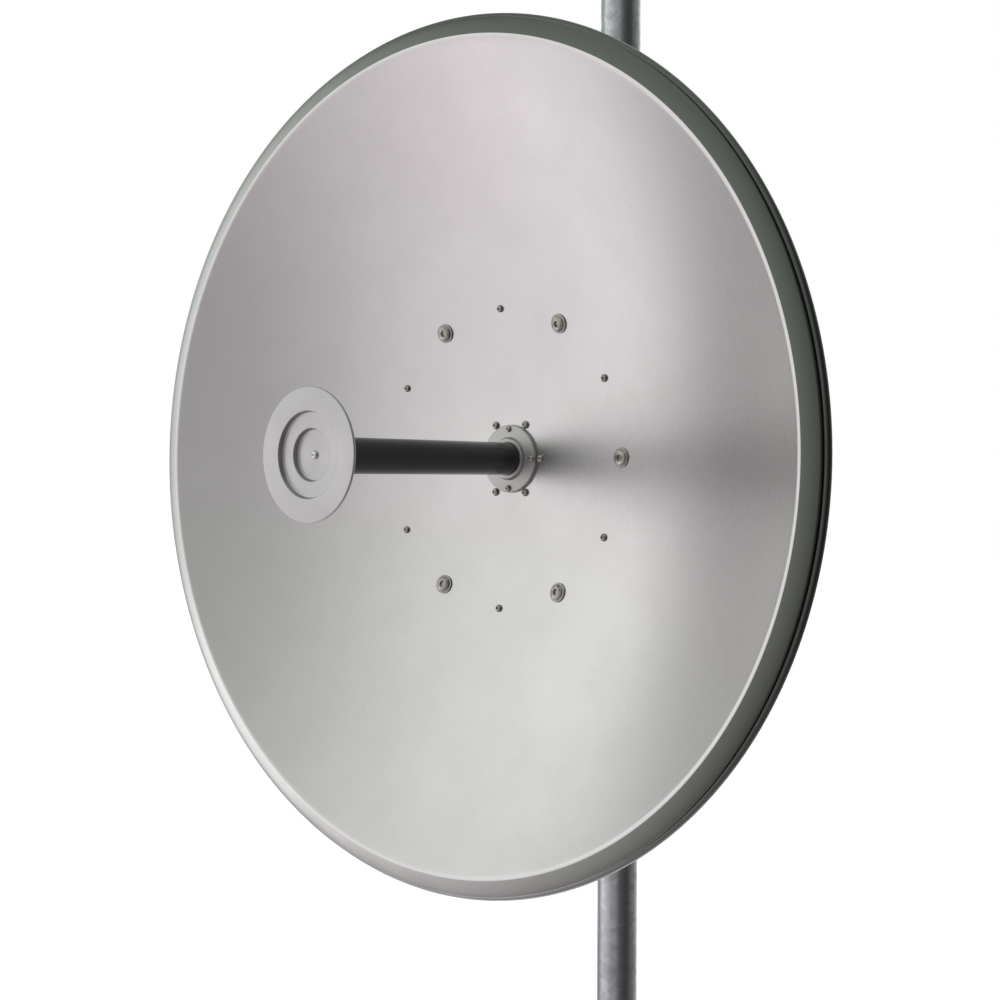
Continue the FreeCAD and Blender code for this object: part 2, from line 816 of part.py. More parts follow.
def make_u_bolts():
    """Two U-bolts round the mast, with a washer and a nut on each leg."""
    bar = number("u_rod")
    bend = number("mast_radius + gap + u_rod")
    half = Part.makeTorus(bend, bar, Vector(), Z_AXIS, -180, 180, 180)
    legs = [Part.makeCylinder(bar, U_LEG, Vector(side * bend, 0, 0), -Y_AXIS) for side in (-1, 1)]
    bolt = half.fuse(legs).removeSplitter()
    face = number("web_front")
    toward = Rotation(X_AXIS, 90)
    heights = [number(f"axis_height + {side} * clamp_spacing") for side in (-1, 1)]
    group("u_bolts", [moved(bolt, Placement(Vector(0, 0, up), NO_TURN)) for up in heights])
    spots = [Placement(Vector(side * bend, 0, up), toward) for side in (-1, 1) for up in heights]
    nut_face = face + U_WASHER_THICK
    flat = washer(bar, U_WASHER_RADIUS, face, nut_face)
    nut = hex_nut(bar, FLATS_M10, nut_face, nut_face + NUT_M10)
    group("u_bolt_washers", [moved(flat, spot) for spot in spots])
    group("u_bolt_nuts", [moved(nut, spot) for spot in spots])


PIVOT_TIP = 14


def make_pivot_fasteners():
    """The two bolts that the dish tilts on, held in the channel's cheeks."""
    shank = number("pivot_radius")
    cheek = number("cheek_outer")
    inner = number("ear_inner - gap")
    seat = cheek + PIVOT_WASHER_THICK
    bolt = hex_bolt(shank, FLATS_M12, HEAD_M12, seat, inner - PIVOT_TIP)
    flat = washer(shank, PIVOT_WASHER_RADIUS, cheek, seat)
    nut = hex_nut(shank, FLATS_M12, inner - NUT_M12, inner)
    out = [Placement(Vector(), Rotation(Y_AXIS, side * 90)) for side in (-1, 1)]
    for label, solid in (("pivot_bolts", bolt), ("pivot_washers", flat), ("pivot_nuts", nut)):
        at_pivot(group(label, [moved(solid, spot) for spot in out]))


# ---- elevation adjuster --------------------------------------------------------------------


CROSS_BAR = 20
EYE_BOLT_TIP = -16
JOURNAL_PAST_CLIP = 4
CLIP_RADIUS = 10
CLIP_THICK = 1.5


def make_adjuster():
    """The rod, its eye bolt, and the trunnion it slides through between two setting nuts.

    Eye and trunnion are the same distance from the pivot, so the rod always turns by half the tilt.
    """
    forward = number("link_forward")
    drop = number("link_drop")
    out = number("link_out")
    bar = number("rod_radius")
    running = number("running")
    eye_half = number("(ear_inner - gap) - link_out")
    eye_at = Vector(out, -forward, -drop)
    trunnion_at = Vector(out, forward, -drop)
    sideways = Rotation(Y_AXIS, 90)
    backwards = Rotation(X_AXIS, -90)

    eye = moved(rod(number("eye_radius"), -eye_half, eye_half), Placement(Vector(), sideways))
    stem_bar = rod(bar, number("rod_start"), number("rod_length"))
    stem = moved(stem_bar, Placement(Vector(), backwards))
    hole = moved(rod(bar + running, -CROSS_BAR, CROSS_BAR), Placement(Vector(), sideways))
    link = eye.fuse(stem).removeSplitter().cut(hole)
    at_pivot(group("adjusting_rod", [moved(link, Placement(eye_at, NO_TURN))]))

    ear_face = number("ear_outer - link_out")
    nut_top = -eye_half - number("gap")
    eye_bolt = hex_bolt(bar, FLATS_M10, HEAD_M10, ear_face, EYE_BOLT_TIP)
    eye_nut = hex_nut(bar, FLATS_M10, nut_top - NUT_M10, nut_top)
    at_pivot(group("eye_bolt", [moved(eye_bolt, Placement(eye_at, sideways))]))
    at_pivot(group("eye_nut", [moved(eye_nut, Placement(eye_at, sideways))]))

    side = number("block_half")
    shoulder = number("cheek_inner - gap - link_out")
    reach = number("block_reach")
    block = Part.makeBox(shoulder + reach, 2 * side, 2 * side, Vector(-reach, -side, -side))
    clip_at = number("cheek_outer + gap - link_out")
    journal_bar = rod(number("pivot_radius"), shoulder, clip_at + JOURNAL_PAST_CLIP)
    journal = moved(journal_bar, Placement(Vector(), sideways))
    bore = moved(rod(bar + running, -CROSS_BAR, CROSS_BAR), Placement(Vector(), backwards))
    block = block.fuse(journal).removeSplitter().cut(bore)
    at_pivot(group("trunnion", [moved(block, Placement(trunnion_at, NO_TURN))]))
    clip = washer(number("pivot_radius"), CLIP_RADIUS, clip_at, clip_at + CLIP_THICK)
    at_pivot(group("trunnion_clip", [moved(clip, Placement(trunnion_at, sideways))]))
    nuts = [hex_nut(bar + running, FLATS_M10, low, low + NUT_M10) for low in (side, -side - NUT_M10)]
    at_pivot(group("setting_nuts", [moved(nut, Placement(trunnion_at, backwards)) for nut in nuts]))


# ---- hub -----------------------------------------------------------------------------------


HUB_THREAD_SHOWING = 2
FLANGE_HEAD = 3.6
FLANGE_HEAD_HEIGHT = 2.4
SCREW_SHORT_OF_BACK = 1


def make_hub():
    """The flange in front of the bowl and the plate behind it, with their screws."""
    flange = turned("feed_flange_blank", [
        ("feed_bore", "-sheet"),
        ("neck_radius - neck_play", "-sheet"),
        ("neck_radius - neck_play", "flange_seat"),
        ("flange_radius", "flange_seat"),
        ("flange_radius", "flange_face - flange_break"),
        ("flange_radius - flange_break", "flange_face"),
        ("boss_root", "flange_face"),
        ("boss_shoulder", "boss_shoulder_height"),
        ("boss_top", "boss_height"),
        ("feed_bore", "boss_height"),
    ])
    slim = rod(FLANGE_SHANK, -DRILL_REACH, DRILL_REACH)
    screw_holes = [moved(slim, spot) for spot in ring_places(number("flange_circle"), 4, 0)]
    on_dish_axis(cut_from(flange, "feed_flange", screw_holes))
    hub = turned("hub_plate_blank", [
        ("feed_bore", "-hub_face"),
        ("hub_radius", "-hub_face"),
        ("hub_radius", "-hub_face - hub_thick"),
        ("feed_bore", "-hub_face - hub_thick"),
    ])
    on_dish_axis(cut_from(hub, "hub_plate", hub_drills()))
    back = -number("hub_face + hub_thick")
    outer_edge = f"(hub_circle + {HUB_HEAD})"
    hub_lift = number(f"{outer_edge} * {outer_edge} / (4 * focal)") + HEAD_LIFT
    tip = back - NUT_M5 - HUB_THREAD_SHOWING
    hub_screw = pan_screw(number("small_shank"), HUB_HEAD, SMALL_HEAD_HEIGHT, hub_lift, tip)
    hub_spots = ring_places(number("hub_circle"), 6, 0)
    ring_group("hub_screws", hub_screw, hub_spots)
    hub_nut = hex_nut(number("small_shank"), FLATS_M5, back - NUT_M5, back)
    ring_group("hub_nuts", hub_nut, hub_spots)
    face = number("flange_face")
    tip = back + SCREW_SHORT_OF_BACK
    flange_screw = pan_screw(FLANGE_SHANK, FLANGE_HEAD, FLANGE_HEAD_HEIGHT, face, tip)
    ring_group("flange_screws", flange_screw, ring_places(number("flange_circle"), 4, 0))



# The split clamp behind the hub: its lug, the saw cut through it and the screw that closes it.
LUG_WIDTH = 20
LUG_HEIGHT = 16
LUG_SUNK = 6
CUT_WIDTH = 3
CUT_REACH = 40
CLAMP_SCREW_UP = 4.5
CLAMP_HEAD = 4.3
CLAMP_HEAD_HEIGHT = 3
CLAMP_SCREW_TIP = -12


def make_feed_clamp():
    """The split clamp that lets the feed turn for polarisation, and the screw across it."""
    back = -number("hub_face + hub_thick")
    bore = number("feed_bore")
    length = number("clamp_length")
    start = back - length
    edge = number("clamp_radius")
    band = rod(edge, start, back)
    lug = Part.makeBox(LUG_WIDTH, LUG_HEIGHT, length, Vector(-LUG_WIDTH / 2, edge - LUG_SUNK, start))
    saw_cut = Part.makeBox(CUT_WIDTH, CUT_REACH, length, Vector(-CUT_WIDTH / 2, 0, start))
    screw_at = Vector(0, edge + CLAMP_SCREW_UP, back - length / 2)
    cross = moved(rod(CLAMP_SHANK, -LUG_WIDTH, LUG_WIDTH, X_AXIS), Placement(screw_at, NO_TURN))
    collar = band.fuse(lug).removeSplitter().cut([rod(bore, start, back), saw_cut, cross])
    on_dish_axis(group("feed_clamp", [collar]))
    screw = pan_screw(CLAMP_SHANK, CLAMP_HEAD, CLAMP_HEAD_HEIGHT, LUG_WIDTH / 2, CLAMP_SCREW_TIP)
    spot = Placement(screw_at, Rotation(Y_AXIS, 90))
    on_dish_axis(group("clamp_screw", [moved(screw, spot)]))


# ---- feed ----------------------------------------------------------------------------------


def make_feed_tube():
    """The outer sleeve, the waveguide inside it and the tapered collar at its front end."""
    node(on_dish_axis(turned("feed_tube", [
        ("sleeve_bore", "-tube_start"),
        ("tube_radius", "-tube_start"),
        ("tube_radius", "tube_end"),
        ("sleeve_bore", "tube_end"),
    ])), "feed_tube")
    guide = turned("waveguide_blank", [
        ("guide_bore", "housing_floor - housing_back"),
        ("guide_radius", "housing_floor - housing_back"),
        ("guide_radius", "guide_end"),
        ("guide_bore", "guide_end"),
    ])
    on_dish_axis(cut_from(guide, "waveguide", [port_bar(INSULATOR_RADIUS, 0, DRILL_REACH)]))
    node(on_dish_axis(turned("feed_collar", [
        ("tube_radius + running", "tube_end - collar_back"),
        ("collar_small", "tube_end - collar_back"),
        ("collar_large", "tube_end + collar_front"),
        ("tube_radius + running", "tube_end + collar_front"),
    ])), "feed_collar")
    floor = "(splash_face - 2 * step_depth)"
    node(on_dish_axis(turned("feed_spacer", [
        ("0", "guide_end - spacer_point"),
        ("guide_bore - running", "guide_end - spacer_taper"),
        ("guide_bore - running", "guide_end"),
        ("guide_radius", "guide_end"),
        ("guide_radius", "tube_end + collar_front"),
        ("spacer_radius", "tube_end + collar_front"),
        ("spacer_radius", f"{floor} - splash_sheet"),
        ("spacer_core", f"{floor} - splash_sheet"),
        ("spacer_core", f"{floor} - spacer_core_length"),
        ("0", f"{floor} - spacer_core_length"),
    ])), "feed_spacer")


SPLASH_HEAD = 4
SPLASH_SCREW_LENGTH = 13


def make_splash_plate():
    """The flat disc in front of the feed, turned with two round steps down to its middle."""
    face = "splash_face"
    back = "(splash_face - splash_sheet)"
    node(on_dish_axis(turned("splash_plate", [
        ("splash_bore", f"{face} - 2 * step_depth"),
        ("inner_step - step_slope", f"{face} - 2 * step_depth"),
        ("inner_step + step_slope", f"{face} - step_depth"),
        ("outer_step - step_slope", f"{face} - step_depth"),
        ("outer_step + step_slope", face),
        ("splash_radius - splash_edge", face),
        ("splash_radius", f"{face} - splash_edge"),
        ("splash_radius", f"{back} + splash_edge"),
        ("splash_radius - splash_edge", back),
        ("outer_step + 5 * step_slope", back),
        ("outer_step + 3 * step_slope", f"{back} - step_depth"),
        ("inner_step + 5 * step_slope", f"{back} - step_depth"),
        ("inner_step + 3 * step_slope", f"{back} - 2 * step_depth"),
        ("splash_bore", f"{back} - 2 * step_depth"),
    ])), "splash_plate")
    floor = number("splash_face - 2 * step_depth")
    tip = floor - SPLASH_SCREW_LENGTH
    screw = pan_screw(number("spacer_core"), SPLASH_HEAD, SMALL_HEAD_HEIGHT, floor, tip)
    on_dish_axis(group("splash_screw", [screw]))


# The coaxial port: flange and insulator radii, and how far each piece reaches along its axis.
PORT_FLANGE_RADIUS = 10.5
PORT_FLANGE_THICK = 3
INSULATOR_RADIUS = 4.2
INSULATOR_RECESS = 8
BOSS_SUNK = 2
PROBE_START = 4
PROBE_RECESS = 3
HOUSING_DRILL_START = 5


def port_bar(radius, start, end):
    """A bar along the connector's axis, which points down across the dish axis."""
    bar = rod(radius, start, end, -Y_AXIS)
    bar.translate(Vector(0, 0, -number("port_depth")))
    return bar


def make_transition():
    """The coaxial end of the feed: housing, connector shell, insulator and probe."""
    housing = turned("feed_housing_cup", [
        ("0", "-housing_back"),
        ("housing_radius", "-housing_back"),
        ("housing_radius", "-housing_front"),
        ("sleeve_bore", "-housing_front"),
        ("sleeve_bore", "housing_floor - housing_back"),
        ("0", "housing_floor - housing_back"),
    ])
    seat = number("port_seat")
    boss = doc.addObject("Part::Feature", "feed_housing_boss")
    inner = number("housing_radius") - BOSS_SUNK
    boss.Shape = port_bar(PORT_FLANGE_RADIUS, inner, seat)
    body = doc.addObject("Part::Fuse", "feed_housing_blank")
    body.Base = housing
    body.Tool = boss
    body.Refine = True
    port_hole = port_bar(INSULATOR_RADIUS, HOUSING_DRILL_START, DRILL_REACH)
    on_dish_axis(cut_from(body, "feed_housing", [port_hole]))
    end = number("thread_end")
    face = seat + PORT_FLANGE_THICK
    threaded = port_bar(number("thread_radius"), face, end)
    shell = port_bar(PORT_FLANGE_RADIUS, seat, face).fuse(threaded)
    shell = shell.removeSplitter().cut(port_bar(INSULATOR_RADIUS, seat, end))
    on_dish_axis(group("connector_shell", [shell]))
    pin = number("pin_radius")
    guide_wall = number("guide_bore")
    plug = port_bar(INSULATOR_RADIUS, guide_wall, end - INSULATOR_RECESS).cut(port_bar(pin, 0, end))
    on_dish_axis(group("connector_insulator", [plug]))
    on_dish_axis(group("feed_probe", [port_bar(pin, PROBE_START, end - PROBE_RECESS)]))


# ---- whole ---------------------------------------------------------------------------------


def check_document():
    """Stops if any object failed or any sub-part has no valid shape."""
    for thing in doc.Objects:
        if {"Invalid", "Error"} & set(thing.State):
            raise RuntimeError(f"{thing.Label}: {thing.State}")
    labels = [thing.Label for thing in nodes]
    if len(set(labels)) != len(labels):
        raise RuntimeError("two sub-parts share a label")
    for thing in nodes:
        if thing.Shape.isNull() or not thing.Shape.isValid() or not thing.Shape.Solids:
            raise RuntimeError(f"{thing.Label}: no valid solid")


def main():
    """Builds every sub-part and writes one file for each."""
    make_mast()
    make_reflector()
    make_ring_fasteners()
    make_back_ring()
    make_back_plate()
    make_ears()
    make_ear_fasteners()
    make_clamp_channel()
    make_saddles()
    make_u_bolts()
    make_pivot_fasteners()
    make_adjuster()
    make_hub()
    make_feed_clamp()
    make_feed_tube()
    make_splash_plate()
    make_transition()
    doc.recompute()
    check_document()
    os.makedirs("parts", exist_ok=True)
    for thing in nodes:
        thing.Shape.exportStep(f"parts/{thing.Label}.step")
        print(f"{thing.Label:22s} {len(thing.Shape.Solids):3d} solids {thing.Shape.Volume / 1000:10.2f} cm3")


main()
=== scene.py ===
"""Visual model of a prime-focus dish antenna on a pipe mast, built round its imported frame.

Meshes are in metres in the row frame: the mast stands on the origin along +Z and the dish looks along
-Y. Sizes are given in millimetres. Pieces of the dish are drawn about their own Z axis, with heights
measured out of the bowl from the deepest point of its front surface, and are then laid onto the dish
axis.
"""

from __future__ import annotations

import json
import logging
import math
from dataclasses import dataclass, field
from enum import Enum
from typing import Any, Sequence

import bmesh
import bpy
from mathutils import Matrix, Vector

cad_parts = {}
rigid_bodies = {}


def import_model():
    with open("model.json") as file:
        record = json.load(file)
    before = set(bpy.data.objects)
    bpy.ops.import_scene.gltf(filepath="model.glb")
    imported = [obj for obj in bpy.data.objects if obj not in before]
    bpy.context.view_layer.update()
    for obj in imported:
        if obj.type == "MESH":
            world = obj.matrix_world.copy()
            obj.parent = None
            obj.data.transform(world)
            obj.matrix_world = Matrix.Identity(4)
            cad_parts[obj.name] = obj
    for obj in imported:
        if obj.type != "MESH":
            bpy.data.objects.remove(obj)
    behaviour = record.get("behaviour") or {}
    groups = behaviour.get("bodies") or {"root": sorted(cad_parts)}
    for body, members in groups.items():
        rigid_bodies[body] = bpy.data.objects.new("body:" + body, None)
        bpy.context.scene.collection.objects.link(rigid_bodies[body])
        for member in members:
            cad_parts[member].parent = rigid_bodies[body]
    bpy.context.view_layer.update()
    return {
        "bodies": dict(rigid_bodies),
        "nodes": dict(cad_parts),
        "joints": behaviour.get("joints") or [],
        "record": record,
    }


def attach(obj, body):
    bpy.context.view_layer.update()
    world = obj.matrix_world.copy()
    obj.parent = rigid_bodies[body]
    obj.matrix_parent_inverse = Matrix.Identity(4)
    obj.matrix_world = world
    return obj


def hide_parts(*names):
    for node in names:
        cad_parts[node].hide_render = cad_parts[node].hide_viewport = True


log = logging.getLogger("dish_antenna")

MM = 0.001
BOTH_SIDES = (-1, 1)
Outline = Sequence[tuple[float, float]]
Points = list[tuple[float, float]]

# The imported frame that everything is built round, read by main.
FRAME: dict[str, Any] = {}

# Quarter and half turns: from up to the front, to the back, to +X, and over.
TO_FRONT = Matrix.Rotation(math.pi / 2, 4, "X")
TO_BACK = Matrix.Rotation(-math.pi / 2, 4, "X")
TO_SIDE = Matrix.Rotation(math.pi / 2, 4, "Y")
OVER = Matrix.Rotation(math.pi, 4, "X")


# ---- small helpers -------------------------------------------------------------------------


def linear(colour: str) -> tuple[float, float, float, float]:
    """Turns an sRGB hex colour into linear light.

    Args:
        colour: six hex digits after a hash sign.

    Returns:
        Linear red, green, blue and an alpha of one.
    """
    parts = [int(colour[place : place + 2], 16) / 255 for place in (1, 3, 5)]
    light = [part / 12.92 if part <= 0.04045 else ((part + 0.055) / 1.055) ** 2.4 for part in parts]
    return (light[0], light[1], light[2], 1.0)


def add_node(
    tree: bpy.types.NodeTree,
    kind: str,
    settings: dict[str, Any] | None = None,
    inputs: dict[str | int, Any] | None = None,
) -> bpy.types.Node:
    """Adds a node to a tree.

    Args:
        tree: the shader or geometry tree.
        kind: the node's type name.
        settings: attributes of the node.
        inputs: an input's name or place, and the value or the output socket that feeds it.

    Returns:
        The node.
    """
    new = tree.nodes.new(kind)
    for name, value in (settings or {}).items():
        setattr(new, name, value)
    for name, value in (inputs or {}).items():
        if isinstance(value, bpy.types.NodeSocket):
            tree.links.new(value, new.inputs[name])
        else:
            new.inputs[name].default_value = value
    return new


def output(
    tree: bpy.types.NodeTree,
    kind: str,
    settings: dict[str, Any] | None = None,
    inputs: dict[str | int, Any] | None = None,
    place: int | str = 0,
) -> bpy.types.NodeSocket:
    """Adds a node to a tree and hands on one of its outputs.

    Args:
        tree: the shader or geometry tree.
        kind: the node's type name.
        settings: attributes of the node.
        inputs: an input's name or place, and the value or the output socket that feeds it.
        place: the output's place or name.

    Returns:
        The output socket.
    """
    return add_node(tree, kind, settings, inputs).outputs[place]


SUM = "ShaderNodeMath"
PLUS, MINUS, TIMES, BY, REST, ROOT, FLOOR, COSINE, SINE = (
    {"operation": name}
    for name in ("ADD", "SUBTRACT", "MULTIPLY", "DIVIDE", "MODULO", "SQRT", "FLOOR", "COSINE", "SINE"))
DOT = {"operation": "DOT_PRODUCT"}
SMOOTH = {"interpolation_type": "SMOOTHSTEP"}


def shift(across: float, along: float, up: float) -> Matrix:
    """A move by millimetres along X, Y and Z."""
    return Matrix.Translation((across * MM, along * MM, up * MM))


def direction(azimuth: float, elevation: float) -> Vector:
    """Turns two angles into a direction.

    Args:
        azimuth: in degrees, 0 in front of the dish and growing to its -Y +X side.
        elevation: in degrees above level.

    Returns:
        A vector of length one.
    """
    turn, lift = math.radians(azimuth), math.radians(elevation)
    return Vector((math.sin(turn) * math.cos(lift), -math.cos(turn) * math.cos(lift), math.sin(lift)))


def joint_spot(name: str) -> Sequence[float]:
    """Where a joint of the frame stands, in metres."""
    return next(joint["pos_m"] for joint in FRAME["joints"] if joint["name"] == name)


# ---- finishes ------------------------------------------------------------------------------


class Pattern(Enum):
    """How a surface was made, which sets the marks on it."""

    SPUN = "rings about the dish axis, left by the spinning roller"
    TURNED = "fine rings about the dish axis, left by a lathe tool"
    ROLLED = "long grain of rolled sheet"
    SPANGLE = "crystals of hot-dip zinc"
    CLOUDED = "faint clouds of electroplate"
    MOULDED = "fine grain of a mould"


# Rolled grain is 25 times as long as it is wide.
GRAIN_LENGTH = 0.04
# Hot-dip zinc: how fine its clouds are against its crystals, and what each gives to its tone.
CLOUD_SIZE = 0.35
CRYSTAL_SHARE = 0.45
CLOUD_SHARE = 0.55
# Handling and weather, on every finish: soft patches about 60 mm across.
PATCHES_PER_METRE = 16.0
PATCH_SHARE = 0.4
MARK_SHARE = 0.6
# The middle of a noise, which is stretched to reach from one tone to the other.
NOISE_LOW = 0.3
NOISE_HIGH = 0.7
# Towards the upper right of the dish, where painted shade darkens the tone, and the metres along it over
# which the tone changes.
PAINTED_SHADE_SIDE = (0.9, 0.0, 0.43)
PAINTED_SHADE_START = -0.40
PAINTED_SHADE_END = 0.28


@dataclass(frozen=True)
class Finish:
    """One real finish, and the material that shows it.

    Attributes:
        name: what the finish is called.
        slot: the record's material slot.
        light: the lighter of its two tones.
        dark: the darker of its two tones.
        metallic: one for bare metal.
        roughness: middle roughness.
        spread: how far the roughness wanders to each side.
        pattern: how the surface was made.
        grain_mm: width of one mark of the pattern.
        relief_mm: depth of the marks.
        anisotropy: how far gloss is drawn out across the rings.
        coat: weight of a clear layer on top.
        painted_shade_tone: the darker tone painted onto the upper right of the dish as painted shade, if any.
    """

    name: str
    slot: str
    light: str
    dark: str
    metallic: float
    roughness: float
    spread: float
    pattern: Pattern
    grain_mm: float
    relief_mm: float
    anisotropy: float = 0.0
    coat: float = 0.0
    painted_shade_tone: str = ""

    def marks(self, tree: bpy.types.NodeTree, place: Any) -> Any:
        """Builds the pattern.

        Args:
            tree: the material's tree.
            place: the socket that gives object coordinates.

        Returns:
            A socket from zero to one.
        """
        per_metre = 1 / (self.grain_mm * MM)
        if self.pattern in (Pattern.SPUN, Pattern.TURNED):
            split = add_node(tree, "ShaderNodeSeparateXYZ", inputs={0: place})
            across = output(tree, SUM, TIMES, {0: split.outputs["X"], 1: split.outputs["X"]})
            up = output(tree, SUM, TIMES, {0: split.outputs["Z"], 1: split.outputs["Z"]})
            radius = output(tree, SUM, ROOT, {0: output(tree, SUM, PLUS, {0: across, 1: up})})
            ring = output(tree, SUM, TIMES, {0: radius, 1: per_metre})
            return output(tree, "ShaderNodeTexNoise", {"noise_dimensions": "1D"}, {"W": ring, "Detail": 3.0})
        if self.pattern is Pattern.ROLLED:
            stretch = (per_metre, per_metre, per_metre * GRAIN_LENGTH)
            grain = output(tree, "ShaderNodeMapping", inputs={"Vector": place, "Scale": stretch})
            inputs = {"Vector": grain, "Scale": 1.0, "Detail": 3.0}
            return output(tree, "ShaderNodeTexNoise", inputs=inputs)
        if self.pattern is Pattern.SPANGLE:
            inputs = {"Vector": place, "Scale": per_metre, "Randomness": 1.0}
            crystals = output(tree, "ShaderNodeTexVoronoi", {"feature": "F1"}, inputs, "Color")
            tone = output(tree, "ShaderNodeSeparateColor", inputs={0: crystals})
            inputs = {"Vector": place, "Scale": per_metre * CLOUD_SIZE, "Detail": 4.0, "Distortion": 0.8}
            cloud = output(tree, "ShaderNodeTexNoise", inputs=inputs)
            crystal_part = output(tree, SUM, TIMES, {0: tone, 1: CRYSTAL_SHARE})
            cloud_part = output(tree, SUM, TIMES, {0: cloud, 1: CLOUD_SHARE})
            return output(tree, SUM, PLUS, {0: crystal_part, 1: cloud_part})
        inputs = {"Vector": place, "Scale": per_metre, "Detail": 4.0, "Roughness": 0.6}
        return output(tree, "ShaderNodeTexNoise", inputs=inputs)

    def paint_shade(self, tree: bpy.types.NodeTree, place: Any, colour: Any) -> Any:
        """Darkens a colour across the dish as painted shade, from the lighter lower left to the darker upper
        right.

        Args:
            tree: the material's tree.
            place: the socket that gives metres from the dish axis.
            colour: the socket that gives the colour before the painted shade.

        Returns:
            A socket with the colour.
        """
        across = output(tree, "ShaderNodeVectorMath", DOT, {0: place, 1: PAINTED_SHADE_SIDE}, "Value")
        limits = {"Value": across, "From Min": PAINTED_SHADE_START, "From Max": PAINTED_SHADE_END}
        share = output(tree, "ShaderNodeMapRange", SMOOTH, limits)
        colours = {0: share, 6: colour, 7: linear(self.painted_shade_tone)}
        return output(tree, "ShaderNodeMix", {"data_type": "RGBA"}, colours, 2)

    def material(self) -> bpy.types.Material:
        """Builds the material.

        Returns:
            The material, named for the finish.
        """
        made = bpy.data.materials.new(self.name)
        made.use_nodes = True
        tree = made.node_tree
        tree.nodes.clear()
        where = output(tree, "ShaderNodeTexCoord", place="Object")
        axis = (0.0, 0.0, -DishAxis.from_frame().height)
        place = output(tree, "ShaderNodeMapping", inputs={"Vector": where, "Location": axis})
        marks = self.marks(tree, place)
        inputs = {"Vector": place, "Scale": PATCHES_PER_METRE, "Detail": 5.0, "Roughness": 0.62}
        patches = output(tree, "ShaderNodeTexNoise", inputs=inputs)
        mark_part = output(tree, SUM, TIMES, {0: marks, 1: MARK_SHARE})
        patch_part = output(tree, SUM, TIMES, {0: patches, 1: PATCH_SHARE})
        both = output(tree, SUM, PLUS, {0: mark_part, 1: patch_part})
        limits = {"Value": both, "From Min": NOISE_LOW, "From Max": NOISE_HIGH}
        tone = output(tree, "ShaderNodeMapRange", inputs=limits)
        colours = {0: tone, 6: linear(self.dark), 7: linear(self.light)}
        colour = output(tree, "ShaderNodeMix", {"data_type": "RGBA"}, colours, 2)
        # Painted shade: the colour darkens towards the upper right of the dish.
        if self.painted_shade_tone:
            colour = self.paint_shade(tree, place, colour)
        limits["To Min"] = self.roughness + self.spread
        limits["To Max"] = self.roughness - self.spread
        rough = output(tree, "ShaderNodeMapRange", inputs=limits)
        inputs = {"Height": marks, "Strength": 1.0, "Distance": self.relief_mm * MM}
        bump = output(tree, "ShaderNodeBump", inputs=inputs)
        inputs = {"Base Color": colour, "Roughness": rough, "Normal": bump, "Metallic": self.metallic,
                  "Coat Weight": self.coat, "Anisotropic": self.anisotropy}
        if self.anisotropy:
            inputs["Tangent"] = output(tree, "ShaderNodeTangent", {"direction_type": "RADIAL", "axis": "Y"})
        shader = output(tree, "ShaderNodeBsdfPrincipled", inputs=inputs)
        add_node(tree, "ShaderNodeOutputMaterial", inputs={"Surface": shader})
        return made


